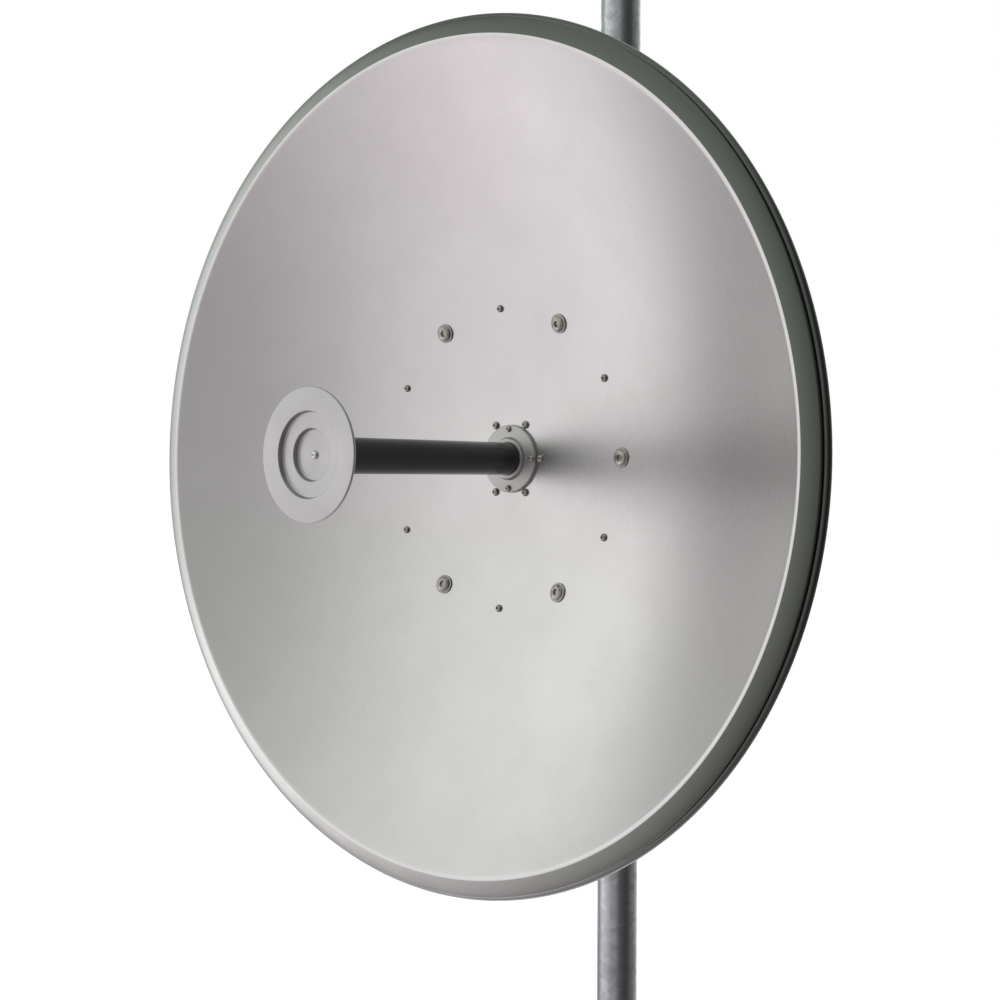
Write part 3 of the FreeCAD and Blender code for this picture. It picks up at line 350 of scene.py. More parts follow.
class Finishes:
    """Every finish of the antenna, each built once when first asked for.

    Each names its slot, its lighter and its darker tone, whether it is metal, its roughness and how far
    that wanders, its pattern, and the width and depth of the pattern's marks in millimetres.
    """

    # Bare 1050 sheet, spun over a former: satin, with rings a millimetre or so apart that draw
    # each highlight out along the radius.
    SPUN = Finish("spun aluminium, satin", "spun_aluminium", "#D5D3D3", "#CCCAC9", 1.0, 0.27, 0.03,
                  Pattern.SPUN, 1.4, 0.004, anisotropy=0.6)
    # The band, skirt and hem outside the former's edge, never burnished: pale on one side of the dish, and
    # darkened to a dull greenish grey on the other as painted shade.
    BAND = Finish("spun aluminium, rim band", "spun_aluminium", "#CDCECB", "#C0C1BE", 1.0, 0.40, 0.04,
                  Pattern.SPUN, 1.4, 0.006, anisotropy=0.35, painted_shade_tone="#676B65")
    # The same metal cut on a lathe and lightly blasted: duller, with closer rings.
    TURNED = Finish("turned aluminium, matt", "machined_aluminium", "#C4C3C1", "#AFAEAC", 1.0, 0.48, 0.04,
                    Pattern.TURNED, 0.5, 0.006, anisotropy=0.3)
    # Splash plate: a pressed disc faced on a lathe, satin, with rings under a millimetre wide.
    PLATE_TURNED = Finish("turned aluminium disc, satin", "machined_aluminium", "#C6C4C5", "#B5B3B4", 1.0,
                          0.40, 0.04, Pattern.TURNED, 0.9, 0.006, anisotropy=0.4)
    # Mill-finish sheet for ring and plate: long faint grain.
    PRESSED = Finish("pressed aluminium, mill finish", "pressed_aluminium", "#C2C3C3", "#A9ABAC", 1.0, 0.42,
                     0.06, Pattern.ROLLED, 1.2, 0.004)
    # Hot-dip zinc on drawn pipe: dull grey crystals about 8 mm across.
    PIPE = Finish("galvanised pipe", "galvanised_pipe", "#C6C9CB", "#A6A9AC", 0.95, 0.30, 0.06,
                  Pattern.SPANGLE, 8.0, 0.012)
    # The same bath on thicker plate, with smaller crystals.
    PLATE = Finish("galvanised plate", "galvanised_steel", "#B9BCBD", "#9C9FA1", 0.95, 0.42, 0.08,
                   Pattern.SPANGLE, 6.0, 0.015)
    # Bright zinc electroplate on bolts and nuts: faintly yellow, clouded.
    ZINC = Finish("zinc-plated fastener", "zinc_fastener", "#CFCBC0", "#A8A49A", 1.0, 0.32, 0.07,
                  Pattern.CLOUDED, 3.0, 0.003)
    # Cold-formed stainless heads: a little darker and warmer than the bowl.
    STAINLESS = Finish("stainless fastener", "stainless_fastener", "#B4B0AA", "#8D8984", 1.0, 0.30, 0.05,
                       Pattern.CLOUDED, 2.0, 0.002)
    # Head of the screw in the splash plate: stainless, with its colour lightened to near white as a painted
    # highlight, so that it carries the one small bright glint.
    PAINTED_GLINT_STAINLESS = Finish("polished stainless screw", "stainless_fastener", "#F3F2F0", "#E9E8E6", 1.0, 0.34, 0.03,
                    Pattern.CLOUDED, 2.0, 0.001)
    # Drawn tube in semi-gloss black paint: a soft long highlight, faint orange peel.
    BLACK = Finish("black painted sleeve", "black_sleeve", "#171412", "#0F0E0C", 0.0, 0.30, 0.04,
                   Pattern.CLOUDED, 2.5, 0.010, coat=0.25)
    # Moulded polyethylene cap: matt with a fine mould grain.
    CAP = Finish("moulded black polyethylene", "cap_plastic", "#26272A", "#1A1B1D", 0.0, 0.58, 0.05,
                 Pattern.MOULDED, 0.8, 0.02)
    # Turned PTFE: waxy white.
    WHITE = Finish("natural PTFE", "white_dielectric", "#EEEDE8", "#E2E0DA", 0.0, 0.42, 0.04,
                   Pattern.MOULDED, 1.0, 0.003)
    # Bright nickel over brass: smooth, faintly warm, close to a mirror.
    NICKEL = Finish("bright nickel plate", "nickel_plate", "#CFCBC2", "#BAB6AC", 1.0, 0.16, 0.04,
                    Pattern.CLOUDED, 2.0, 0.001)
    # A thin gold flash over brass: deep yellow, nearly as smooth.
    GOLD = Finish("gold-flashed brass", "gold_brass", "#E2BE6A", "#C9A24C", 1.0, 0.20, 0.04,
                  Pattern.CLOUDED, 2.0, 0.001)
    # The plain finish of each of the record's slots, for nodes that no finer piece stands for.
    ALL = (SPUN, TURNED, PRESSED, PIPE, PLATE, ZINC, STAINLESS, BLACK, CAP, WHITE, NICKEL, GOLD)

    _made: dict[str, bpy.types.Material] = {}

    @classmethod
    def material(cls, finish: Finish) -> bpy.types.Material:
        """Finds a finish's material, or builds it.

        Args:
            finish: the finish.

        Returns:
            Its one material.
        """
        if finish.name not in cls._made:
            cls._made[finish.name] = finish.material()
        return cls._made[finish.name]

    @classmethod
    def for_node(cls, node: str) -> Finish:
        """Finds the finish that a CAD node's material slot stands for.

        Args:
            node: the CAD node.

        Returns:
            The finish.
        """
        parts = FRAME["record"]["subparts"]
        slot = next(part["material_slot"] for part in parts if part["node"] == node)
        return next(finish for finish in cls.ALL if finish.slot == slot)


# ---- frames --------------------------------------------------------------------------------


@dataclass(frozen=True)
class DishAxis:
    """The line that the bowl and the feed are turned about.

    Attributes:
        height: of the axis above the mast's foot.
        vertex: Y of the deepest point of the bowl's front surface.
    """

    height: float
    vertex: float

    @classmethod
    def from_frame(cls) -> DishAxis:
        """Reads the axis from the joint that the feed turns on."""
        spot = joint_spot("polarisation")
        return cls(height=spot[2], vertex=spot[1])

    def matrix(self) -> Matrix:
        """From a piece's own frame, Z out of the bowl, to the row frame."""
        return Matrix.Translation((0, self.vertex, self.height)) @ TO_FRONT


@dataclass(frozen=True)
class Pivot:
    """The line that the dish tilts on.

    Attributes:
        spot: the middle of the line.
    """

    spot: Vector

    @classmethod
    def from_frame(cls) -> Pivot:
        """Reads the line from the elevation joint."""
        return cls(spot=Vector(joint_spot("elevation")))

    def ends(self, above: float = 0.0) -> list[Matrix]:
        """Finds the two frames that look out along the line from its middle.

        Args:
            above: how far above the line they stand, in millimetres.

        Returns:
            From a piece's own frame, Z outwards, to the row frame, for the -X and the +X side.
        """
        middle = Matrix.Translation(self.spot) @ shift(0, 0, above)
        return [middle @ Matrix.Rotation(side * math.pi / 2, 4, "Y") for side in BOTH_SIDES]



# ---- geometry trees ------------------------------------------------------------------------


def open_tree(name: str, inputs: dict[str, str]) -> tuple[bpy.types.NodeTree, list[bpy.types.NodeSocket]]:
    """Starts a geometry tree with named inputs and one geometry output.

    Args:
        name: the tree's name.
        inputs: each input's name and what kind of socket it is.

    Returns:
        The tree, and the sockets that give its inputs.
    """
    tree = bpy.data.node_groups.new(name, "GeometryNodeTree")
    for label, kind in inputs.items():
        tree.interface.new_socket(label, in_out="INPUT", socket_type="NodeSocket" + kind)
    tree.interface.new_socket("Geometry", in_out="OUTPUT", socket_type="NodeSocketGeometry")
    return tree, list(tree.nodes.new("NodeGroupInput").outputs)[: len(inputs)]


def close_tree(tree: bpy.types.NodeTree, geometry: Any, finish: Any) -> None:
    """Ends a geometry tree: makes its copies real and dresses them.

    Args:
        tree: the geometry tree.
        geometry: the socket with what the tree has made.
        finish: the socket that gives the material.
    """
    real = output(tree, "GeometryNodeRealizeInstances", inputs={0: geometry})
    dressed = output(tree, "GeometryNodeSetMaterial", inputs={0: real, "Material": finish})
    add_node(tree, "NodeGroupOutput", inputs={0: dressed})


class TurningTree:
    """Geometry nodes that turn an outline of (radius, height) points about the Z axis."""

    NAME = "turned from an outline"
    SEAM = 2e-7

    @classmethod
    def get(cls) -> bpy.types.NodeTree:
        """Builds the tree when first asked for.

        Returns:
            The tree.
        """
        if cls.NAME in bpy.data.node_groups:
            return bpy.data.node_groups[cls.NAME]
        kinds = {"Outline": "Geometry", "Steps around": "Int", "Finish": "Material"}
        tree, (outline, steps, finish) = open_tree(cls.NAME, kinds)
        settings = {"component": "MESH"}
        rows = output(tree, "GeometryNodeAttributeDomainSize", settings, {0: outline}, "Point Count")
        columns = output(tree, SUM, PLUS, {0: steps, 1: 1.0})
        inputs = {"Vertices X": rows, "Vertices Y": columns}
        grid = output(tree, "GeometryNodeMeshGrid", inputs=inputs, place="Mesh")
        index = output(tree, "GeometryNodeInputIndex")
        row = output(tree, SUM, FLOOR, {0: output(tree, SUM, BY, {0: index, 1: columns})})
        passed = output(tree, SUM, TIMES, {0: row, 1: columns})
        column = output(tree, SUM, MINUS, {0: index, 1: passed})
        wrapped = output(tree, SUM, REST, {0: column, 1: steps})
        turn = output(tree, SUM, TIMES, {0: wrapped, 1: math.tau})
        angle = output(tree, SUM, BY, {0: turn, 1: steps})
        settings = {"data_type": "FLOAT_VECTOR", "domain": "POINT"}
        inputs = {"Geometry": outline, "Value": output(tree, "GeometryNodeInputPosition"), "Index": row}
        corner = output(tree, "GeometryNodeSampleIndex", settings, inputs)
        split = add_node(tree, "ShaderNodeSeparateXYZ", inputs={0: corner})
        radius = split.outputs["X"]
        across = output(tree, SUM, TIMES, {0: radius, 1: output(tree, SUM, COSINE, {0: angle})})
        up = output(tree, SUM, TIMES, {0: radius, 1: output(tree, SUM, SINE, {0: angle})})
        spot = output(tree, "ShaderNodeCombineXYZ", inputs={"X": across, "Y": up, "Z": split.outputs["Z"]})
        turned_grid = output(tree, "GeometryNodeSetPosition", inputs={"Geometry": grid, "Position": spot})
        inputs = {"Geometry": turned_grid, "Distance": cls.SEAM}
        close_tree(tree, output(tree, "GeometryNodeMergeByDistance", inputs=inputs), finish)
        return tree


class RingTree:
    """Geometry nodes that repeat one piece round the Z axis, each copy leaning in by an angle."""

    NAME = "ring of pieces"

    @classmethod
    def get(cls) -> bpy.types.NodeTree:
        """Builds the tree when first asked for.

        Returns:
            The tree.
        """
        if cls.NAME in bpy.data.node_groups:
            return bpy.data.node_groups[cls.NAME]
        kinds = {"Piece": "Geometry", "Count": "Int", "Ring radius": "Float", "First angle": "Float",
                 "Height": "Float", "Lean": "Float", "Finish": "Material"}
        tree, (piece, count, radius, first, height, lean, finish) = open_tree(cls.NAME, kinds)
        turn = output(tree, SUM, TIMES, {0: output(tree, "GeometryNodeInputIndex"), 1: math.tau})
        angle = output(tree, SUM, PLUS, {0: output(tree, SUM, BY, {0: turn, 1: count}), 1: first})
        across = output(tree, SUM, TIMES, {0: radius, 1: output(tree, SUM, COSINE, {0: angle})})
        up = output(tree, SUM, TIMES, {0: radius, 1: output(tree, SUM, SINE, {0: angle})})
        spot = output(tree, "ShaderNodeCombineXYZ", inputs={"X": across, "Y": up, "Z": height})
        points = output(tree, "GeometryNodePoints", inputs={"Count": count, "Position": spot})
        back = output(tree, SUM, TIMES, {0: lean, 1: -1.0})
        rotation = output(tree, "ShaderNodeCombineXYZ", inputs={"Y": back, "Z": angle})
        inputs = {"Points": points, "Instance": piece, "Rotation": rotation}
        close_tree(tree, output(tree, "GeometryNodeInstanceOnPoints", inputs=inputs), finish)
        return tree


def bake(piece: bpy.types.Object) -> None:
    """Keeps what a piece's modifiers make as its plain mesh, and removes them.

    Args:
        piece: the object.
    """
    bpy.context.view_layer.update()
    shown = piece.evaluated_get(bpy.context.evaluated_depsgraph_get())
    mesh = bpy.data.meshes.new_from_object(shown)
    piece.modifiers.clear()
    piece.data = mesh


def run_tree(piece: bpy.types.Object, tree: bpy.types.NodeTree, inputs: dict[str, Any]) -> None:
    """Runs a geometry tree on a piece and keeps its result as the piece's plain mesh.

    Args:
        piece: the object that the tree works on.
        tree: the geometry tree.
        inputs: the tree's inputs by name.
    """
    modifier = piece.modifiers.new(tree.name, "NODES")
    modifier.node_group = tree
    for socket in tree.interface.items_tree:
        if socket.name in inputs and socket.in_out == "INPUT":
            modifier[socket.identifier] = inputs[socket.name]
    bake(piece)


# ---- meshes --------------------------------------------------------------------------------


# Edges that turn more than this are sharp.
SHARP = math.radians(32)
# Faces that turn less than this against one another are one flat face.
FLAT = math.radians(1.0)
# Points nearer than this are one point, in metres, and the same for a CAD node's loose triangles.
JOINED = 1e-7
CAD_JOINED = 2e-6
# An outline's point nearer the turning axis than this lies on it, in millimetres.
ON_AXIS = 1e-6
# How many edges an eased corner of an outline gets, and how many faces go across an eased edge.
CORNER_EDGES = 4
EASING_FACES = 3
# How many faces go round a small and a large turned piece.
SMALL_ROUND = 96
LARGE_ROUND = 144


def settle(piece: bpy.types.Object, place: Matrix | None = None, recalculate: bool = True) -> None:
    """Puts a piece's place in its mesh, turns its faces outwards and shades it.

    Args:
        piece: the object, which sits at the origin.
        place: from the piece's own frame to the row frame.
        recalculate: whether the faces' directions are worked out afresh.
    """
    mesh = piece.data
    if place is not None:
        mesh.transform(place)
    shape = bmesh.new()
    shape.from_mesh(mesh)
    bmesh.ops.remove_doubles(shape, verts=shape.verts, dist=JOINED)
    bmesh.ops.dissolve_degenerate(shape, dist=JOINED, edges=shape.edges)
    if recalculate:
        bmesh.ops.recalc_face_normals(shape, faces=shape.faces)
    shape.to_mesh(mesh)
    shape.free()
    mesh.shade_smooth()
    mesh.set_sharp_from_angle(angle=SHARP)
    mesh.update()


def new_piece(name: str, mesh: bpy.types.Mesh) -> bpy.types.Object:
    """Links a mesh into the scene as a piece of its own.

    Args:
        name: the piece's name.
        mesh: its mesh.

    Returns:
        The object, at the origin.
    """
    piece = bpy.data.objects.new(name, mesh)
    bpy.context.scene.collection.objects.link(piece)
    return piece


def finish_piece(piece: bpy.types.Object, finish: Finish, body: str, *nodes: str) -> None:
    """Dresses a settled piece and tells the frame what it is.

    Args:
        piece: the object.
        finish: its finish.
        body: the CAD body that it moves with.
        nodes: the CAD nodes that it stands for.
    """
    piece.data.materials.clear()
    piece.data.materials.append(Finishes.material(finish))
    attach(piece, body)
    if nodes:
        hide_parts(*nodes)
    log.info("%s: %d faces, rides on %s", piece.name, len(piece.data.polygons), body)


def turned(name: str, outline: Outline, steps: int, place: Matrix) -> bpy.types.Object:
    """Turns a piece from a closed outline.

    Args:
        name: the piece's name.
        outline: (radius, height) points in millimetres, in order.
        steps: how many faces go round.
        place: from the piece's own frame to the row frame.

    Returns:
        The settled piece.
    """
    points = [(radius * MM, 0.0, height * MM) for radius, height in outline]
    points.append(points[0])
    mesh = bpy.data.meshes.new(name)
    mesh.from_pydata(points, [(step, step + 1) for step in range(len(points) - 1)], [])
    piece = new_piece(name, mesh)
    run_tree(piece, TurningTree.get(), {"Steps around": steps})
    settle(piece, place)
    return piece


def arc(centre: tuple[float, float], radius: float, start: float, end: float, steps: int) -> Points:
    """Draws a round stretch of an outline.

    Args:
        centre: its middle, as a radius and a height.
        radius: of the stretch itself.
        start: angle of its first point, in degrees from the radius axis.
        end: angle of its last point.
        steps: how many edges it gets.

    Returns:
        Its points in order, both ends among them.
    """
    points = []
    for step in range(steps + 1):
        angle = math.radians(start + (end - start) * step / steps)
        points.append((centre[0] + radius * math.cos(angle), centre[1] + radius * math.sin(angle)))
    return points


def curve(start: Vector, corner: Vector, end: Vector, steps: int) -> Points:
    """Draws a curve that leaves its start towards a corner and comes to its end from there.

    Args:
        start: first point, as a radius and a height.
        corner: the corner that it cuts.
        end: last point.
        steps: how many edges it gets.

    Returns:
        Its points in order, both ends among them.
    """
    points = []
    for step in range(steps + 1):
        t = step / steps
        spot = start * (1 - t) ** 2 + corner * 2 * t * (1 - t) + end * t**2
        points.append((spot.x, spot.y))
    return points


def rounded(outline: Outline, radius: float) -> Points:
    """Eases every corner of a closed outline, except those on the turning axis.

    Args:
        outline: (radius, height) points in millimetres.
        radius: how far along each edge the easing starts, at most a third of the edge.

    Returns:
        The eased outline.
    """
    points: Points = []
    count = len(outline)
    for step in range(count):
        before, here, after = (Vector(outline[(step + place) % count]) for place in (-1, 0, 1))
        if here.x < ON_AXIS:
            points.append((here.x, here.y))
            continue
        back, forth = before - here, after - here
        reach = min(radius, back.length / 3, forth.length / 3)
        start, end = here + back.normalized() * reach, here + forth.normalized() * reach
        points += curve(start, here, end, CORNER_EDGES)
    return points


def eased_copy(node: str, width_mm: float) -> bpy.types.Object:
    """A copy of a CAD node with its flat faces joined up and its edges eased.

    Args:
        node: the CAD node.
        width_mm: width of the easing.

    Returns:
        The settled piece.
    """
    mesh = FRAME["nodes"][node].data.copy()
    mesh.materials.clear()
    piece = new_piece(node + ".eased", mesh)
    shape = bmesh.new()
    shape.from_mesh(mesh)
    bmesh.ops.remove_doubles(shape, verts=shape.verts, dist=CAD_JOINED)
    bmesh.ops.dissolve_limit(shape, angle_limit=FLAT, use_dissolve_boundaries=False, verts=shape.verts,
                             edges=shape.edges)
    shape.to_mesh(mesh)
    shape.free()
    if mesh.attributes.get("custom_normal"):
        mesh.attributes.remove(mesh.attributes["custom_normal"])
    bevel = piece.modifiers.new("eased edges", "BEVEL")
    bevel.width = width_mm * MM
    bevel.segments = EASING_FACES
    bevel.limit_method = "ANGLE"
    bevel.angle_limit = SHARP
    bevel.use_clamp_overlap = True
    bake(piece)
    settle(piece, recalculate=False)
    # Flat faces stay flat right up to their eased edges.
    weigh = piece.modifiers.new("weighted normals", "WEIGHTED_NORMAL")
    weigh.keep_sharp = True
    bake(piece)
    return piece


# ---- lofted hardware -----------------------------------------------------------------------


# How many faces go round a bolt or nut, and round a bent bar.
SIDES = 36
BAR_SIDES = 24
# Slope of the chamfer on a hexagon's corners, and radius of its round face against its flats.
TAN30 = math.tan(math.radians(30))
FACE_SHARE = 0.47
# Depth of a metric thread against its pitch, and length of the plain point behind it.
THREAD_DEPTH = 0.54
POINT = 0.8
# Socketed heads, against their own sizes: the dome's radius on a flange, how high the dome starts on a
# flange and without one, and how deep the socket is.
DOME_SHARE = 0.82
FLANGE_SHARE = 0.4
FOOT_SHARE = 0.25
SOCKET_SHARE = 0.5
# Where on its round the dome starts, in degrees, and how many steps it gets.
DOME_START = 25
DOME_STEPS = 6
# A radius and a height, in millimetres, for each step round.
Section = list[tuple[float, float]]


def circle(radius: float, height: float) -> Section:
    """A round section of a loft.

    Args:
        radius: in millimetres.
        height: along the loft's axis.

    Returns:
        A radius and a height for each step round.
    """
    return [(radius, height)] * SIDES


def hexagon(flats: float, height: float, start: float = 0.0, slope: float = 0.0) -> Section:
    """A hexagonal section, which can follow a cone so that its corners are chamfered.

    Args:
        flats: width across flats in millimetres.
        height: along the loft's axis.
        start: radius at which the cone begins.
        slope: how fast the cone moves along the axis beyond that radius.

    Returns:
        A radius and a height for each step round.
    """
    section = []
    for step in range(SIDES):
        reach = flats / 2 / math.cos(math.radians((step * 360 / SIDES) % 60 - 30))
        section.append((reach, height + slope * max(0.0, reach - start)))
    return section


def thread(radius: float, start: float, end: float, pitch: float) -> list[Section]:
    """Sections of a threaded length of a shank, as rings of the thread's depth.

    Args:
        radius: of the crests.
        start: where the thread begins.
        end: where it ends, which may lie below the start.
        pitch: from crest to crest.

    Returns:
        The sections in order.
    """
    halves = max(2, round(abs(end - start) / pitch * 2))
    deep = THREAD_DEPTH * pitch
    return [circle(radius - deep * (step % 2), start + (end - start) * step / halves)
            for step in range(halves + 1)]


@dataclass
class Solid:
    """Points and faces gathered for one piece.

    Attributes:
        points: in metres.
        faces: each as places in points, seen from outside.
    """

    points: list[Vector] = field(default_factory=list)
    faces: list[tuple[int, ...]] = field(default_factory=list)

    def loft(self, sections: Sequence[Section], place: Matrix | None = None, closed: bool = False) -> None:
        """Adds a skin through sections, in order.

        Args:
            sections: the sections, in millimetres.
            place: from the loft's own frame, in metres, to the piece's.
            closed: whether the skin returns to its first section, as on a nut or a washer.
        """
        place = place or Matrix.Identity(4)
        first, rows = len(self.points), len(sections)
        for section in sections:
            for step, (radius, height) in enumerate(section):
                turn = math.tau * step / SIDES
                spot = Vector((radius * math.cos(turn), radius * math.sin(turn), height)) * MM
                self.points.append(place @ spot)
        for row in range(rows if closed else rows - 1):
            here, there = first + row * SIDES, first + (row + 1) % rows * SIDES
            for step in range(SIDES):
                after = (step + 1) % SIDES
                self.faces.append((here + step, here + after, there + after, there + step))
        if not closed:
            self.faces.append(tuple(first + step for step in range(SIDES)))
            self.faces.append(tuple(first + (rows - 1) * SIDES + step for step in reversed(range(SIDES))))

    def sweep(self, path: Sequence[Vector], radii: Sequence[float]) -> None:
        """Adds a round bar along a path.

        Args:
            path: points of the bar's middle, in metres.
            radii: its radius at each point, in millimetres.
        """
        first, sides = len(self.points), BAR_SIDES
        tangents = [(path[min(step + 1, len(path) - 1)] - path[max(step - 1, 0)]).normalized()
                    for step in range(len(path))]
        across = tangents[0].orthogonal().normalized()
        for spot, tangent, radius in zip(path, tangents, radii):
            across = (across - tangent * across.dot(tangent)).normalized()
            up = tangent.cross(across)
            for step in range(sides):
                turn = math.tau * step / sides
                out = across * math.cos(turn) + up * math.sin(turn)
                self.points.append(spot + out * radius * MM)
        for row in range(len(path) - 1):
            here, there = first + row * sides, first + (row + 1) * sides
            for step in range(sides):
                after = (step + 1) % sides
                self.faces.append((here + step, here + after, there + after, there + step))
        self.faces.append(tuple(first + step for step in reversed(range(sides))))
        self.faces.append(tuple(first + (len(path) - 1) * sides + step for step in range(sides)))

    def finished(self, name: str, finish: Finish, body: str, node: str) -> None:
        """Makes a finished piece of what was gathered.

        Args:
            name: the piece's name.
            finish: its finish.
            body: the CAD body that it moves with.
            node: the CAD node that it stands for.
        """
        piece = self.piece(name)
        settle(piece)
        finish_piece(piece, finish, body, node)

    def piece(self, name: str) -> bpy.types.Object:
        """Makes an object of what was gathered.

        Args:
            name: the piece's name.

        Returns:
            The object, at the origin.
        """
        mesh = bpy.data.meshes.new(name)
        mesh.from_pydata(self.points, [], self.faces)
        return new_piece(name, mesh)


class Drive(Enum):
    """What turns a bolt or a screw."""

    HEX_HEAD = "spanner"
    SOCKET = "hexagon key"


@dataclass(frozen=True)
class Bolt:
    """A bolt or a screw, its head above start. Sizes in millimetres.

    Attributes:
        shank: radius of the thread's crests.
        pitch: of the thread.
        head: width across flats, or radius of a round head.
        height: of the head.
        start: where the underside of the head bears.
        end: where the shank ends.
        drive: what turns it.
        socket: width across flats of the socket.
        flange: radius of the thin flange under a round head, if it has one.
    """

    shank: float
    pitch: float
    head: float
    height: float
    start: float
    end: float
    drive: Drive = Drive.HEX_HEAD
    socket: float = 3.0
    flange: float = 0.0

    def sections(self) -> list[Section]:
        """Lofts the head and the shank.

        Returns:
            The sections from the middle of the head's face to the end of the shank.
        """
        head = self.hexagon_head() if self.drive is Drive.HEX_HEAD else self.domed_head()
        tail = math.copysign(POINT, self.start - self.end)
        threaded = thread(self.shank, self.start - 1.0, self.end + tail, self.pitch)
        return [*head, circle(self.shank, self.start), *threaded, circle(self.shank - 1.0, self.end)]

    def hexagon_head(self) -> list[Section]:
        """Lofts a chamfered hexagon with a shallow dish in its face.

        Returns:
            The sections from the middle of the face to the underside.
        """
        top, rim = self.start + self.height, FACE_SHARE * self.head
        return [circle(rim - 1.2, top - 0.15), circle(rim - 0.9, top), circle(rim, top),
                hexagon(self.head, top, rim, -TAN30), hexagon(self.head, self.start + 0.5),
                circle(rim, self.start + 0.3), circle(rim, self.start)]

    def domed_head(self) -> list[Section]:
        """Lofts a domed head with a hexagon socket, over a thin flange if it has one.

        Returns:
            The sections from the floor of the socket to the underside.
        """
        top = self.start + self.height
        floor = top - SOCKET_SHARE * self.height
        dome = DOME_SHARE * self.head if self.flange else self.head
        foot = self.start + (FLANGE_SHARE if self.flange else FOOT_SHARE) * self.height
        mouth = 0.6 * self.socket + 0.25
        first = math.radians(DOME_START)
        head = [circle(0.2 * self.socket, floor - 0.3), hexagon(self.socket, floor),
                hexagon(self.socket, top - 0.2), circle(mouth, top)]
        for part in range(1, DOME_STEPS + 1):
            turn = math.radians(DOME_START + (90 - DOME_START) * part / DOME_STEPS)
            reach = mouth + (dome - mouth) * (math.sin(turn) - math.sin(first)) / (1 - math.sin(first))
            head.append(circle(reach, foot + (top - foot) * math.cos(turn) / math.cos(first)))
        if self.flange:
            head += [circle(self.flange - 0.4, foot - 0.1), circle(self.flange, foot - 0.5)]
        edge = self.flange or self.head
        return head + [circle(edge, self.start + 0.2), circle(edge - 0.2, self.start)]


@dataclass(frozen=True)
class Nut:
    """A hexagon nut. Sizes in millimetres.

    Attributes:
        bore: radius of its hole.
        flats: width across flats.
        low: where it starts.
        high: where it ends.
    """

    bore: float
    flats: float
    low: float
    high: float

    def sections(self) -> list[Section]:
        """Lofts the nut, its corners and the edges of its hole chamfered.

        Returns:
            The closed loft, from the rim of the hole out, round and back.
        """
        rim = FACE_SHARE * self.flats
        return [circle(self.bore + 0.5, self.high), circle(rim, self.high),
                hexagon(self.flats, self.high, rim, -TAN30), hexagon(self.flats, self.low, rim, TAN30),
                circle(rim, self.low), circle(self.bore + 0.5, self.low), circle(self.bore, self.low + 0.5),
                circle(self.bore, self.high - 0.5)]


@dataclass(frozen=True)
class Washer:
    """A flat washer. Sizes in millimetres.

    Attributes:
        bore: radius of its hole.
        radius: of its rim.
        low: where it starts.
        high: where it ends.
    """

    bore: float
    radius: float
    low: float
    high: float

    def sections(self) -> list[Section]:
        """Lofts the washer, with the rounded rim that blanking leaves.

        Returns:
            The closed loft, from the rim of the hole out, round and back.
        """
        return [circle(self.bore, self.high), circle(self.radius - 0.35, self.high),
                circle(self.radius, self.high - 0.35), circle(self.radius, self.low + 0.15),
                circle(self.radius - 0.15, self.low), circle(self.bore, self.low)]


@dataclass(frozen=True)
class Metric:
    """One metric size of hexagon bolt and nut. Sizes in millimetres.

    Attributes:
        shank: radius of the thread's crests.
        pitch: of the thread.
        flats: width across flats of head and nut.
        head: height of the head.
        thickness: of the nut.
    """

    shank: float
    pitch: float
    flats: float
    head: float
    thickness: float

    def bolt(self, start: float, end: float) -> Bolt:
        """A bolt of this size, from the underside of its head to its point."""
        return Bolt(self.shank, self.pitch, self.flats, self.head, start, end)

    def nut(self, low: float) -> Nut:
        """A nut of this size, from its lower face."""
        return Nut(self.shank, self.flats, low, low + self.thickness)


M5 = Metric(shank=2.5, pitch=0.8, flats=8.0, head=3.5, thickness=4.0)
M8 = Metric(shank=4.0, pitch=1.25, flats=13.0, head=5.3, thickness=6.5)
M10 = Metric(shank=5.0, pitch=1.5, flats=17.0, head=6.4, thickness=8.0)
M12 = Metric(shank=6.0, pitch=1.75, flats=18.0, head=7.5, thickness=10.8)


def ring_of(name: str, part: Bolt | Nut, ring: Ring, finish: Finish, node: str) -> None:
    """Repeats one fastener round the dish axis with the ring tree.

    Args:
        name: the piece's name.
        part: the fastener.
        ring: where the copies stand.
        finish: their finish.
        node: the CAD node that they stand for.
    """
    solid = Solid()
    solid.loft(part.sections(), closed=isinstance(part, Nut))
    piece = solid.piece(name)
    run_tree(piece, RingTree.get(), {
        "Count": ring.count, "Ring radius": ring.radius * MM, "First angle": math.radians(ring.first),
        "Height": ring.height * MM, "Lean": ring.lean,
    })
    settle(piece, DishAxis.from_frame().matrix())
    finish_piece(piece, finish, "dish", node)


def spread(
    name: str, part: Bolt | Nut | Washer, places: Sequence[Matrix], finish: Finish, body: str, node: str,
) -> None:
    """Stands copies of one fastener at given places.

    Args:
        name: the piece's name.
        part: the fastener.
        places: from the fastener's own frame to the row frame.
        finish: their finish.
        body: the CAD body that they move with.
        node: the CAD node that they stand for.
    """
    solid = Solid()
    for place in places:
        solid.loft(part.sections(), place, closed=not isinstance(part, Bolt))
    solid.finished(name, finish, body, node)


def dress_copy(node: str, finish: Finish, body: str, width_mm: float) -> None:
    """Replaces a CAD node by a copy of it with eased edges.

    Args:
        node: the CAD node.
        finish: its finish.
        body: the CAD body that it moves with.
        width_mm: width of the easing.
    """
    finish_piece(eased_copy(node, width_mm), finish, body, node)


@dataclass(frozen=True)
class Ring:
    """Where like pieces stand round the dish axis. Sizes in millimetres, angles in degrees.

    Attributes:
        radius: of the ring.
        count: how many pieces.
        first: angle of the first.
        height: of their own origin.
        lean: how far each leans in, in radians.
    """

    radius: float
    count: int
    first: float = 0.0
    height: float = 0.0
    lean: float = 0.0


# ---- bowl ----------------------------------------------------------------------------------


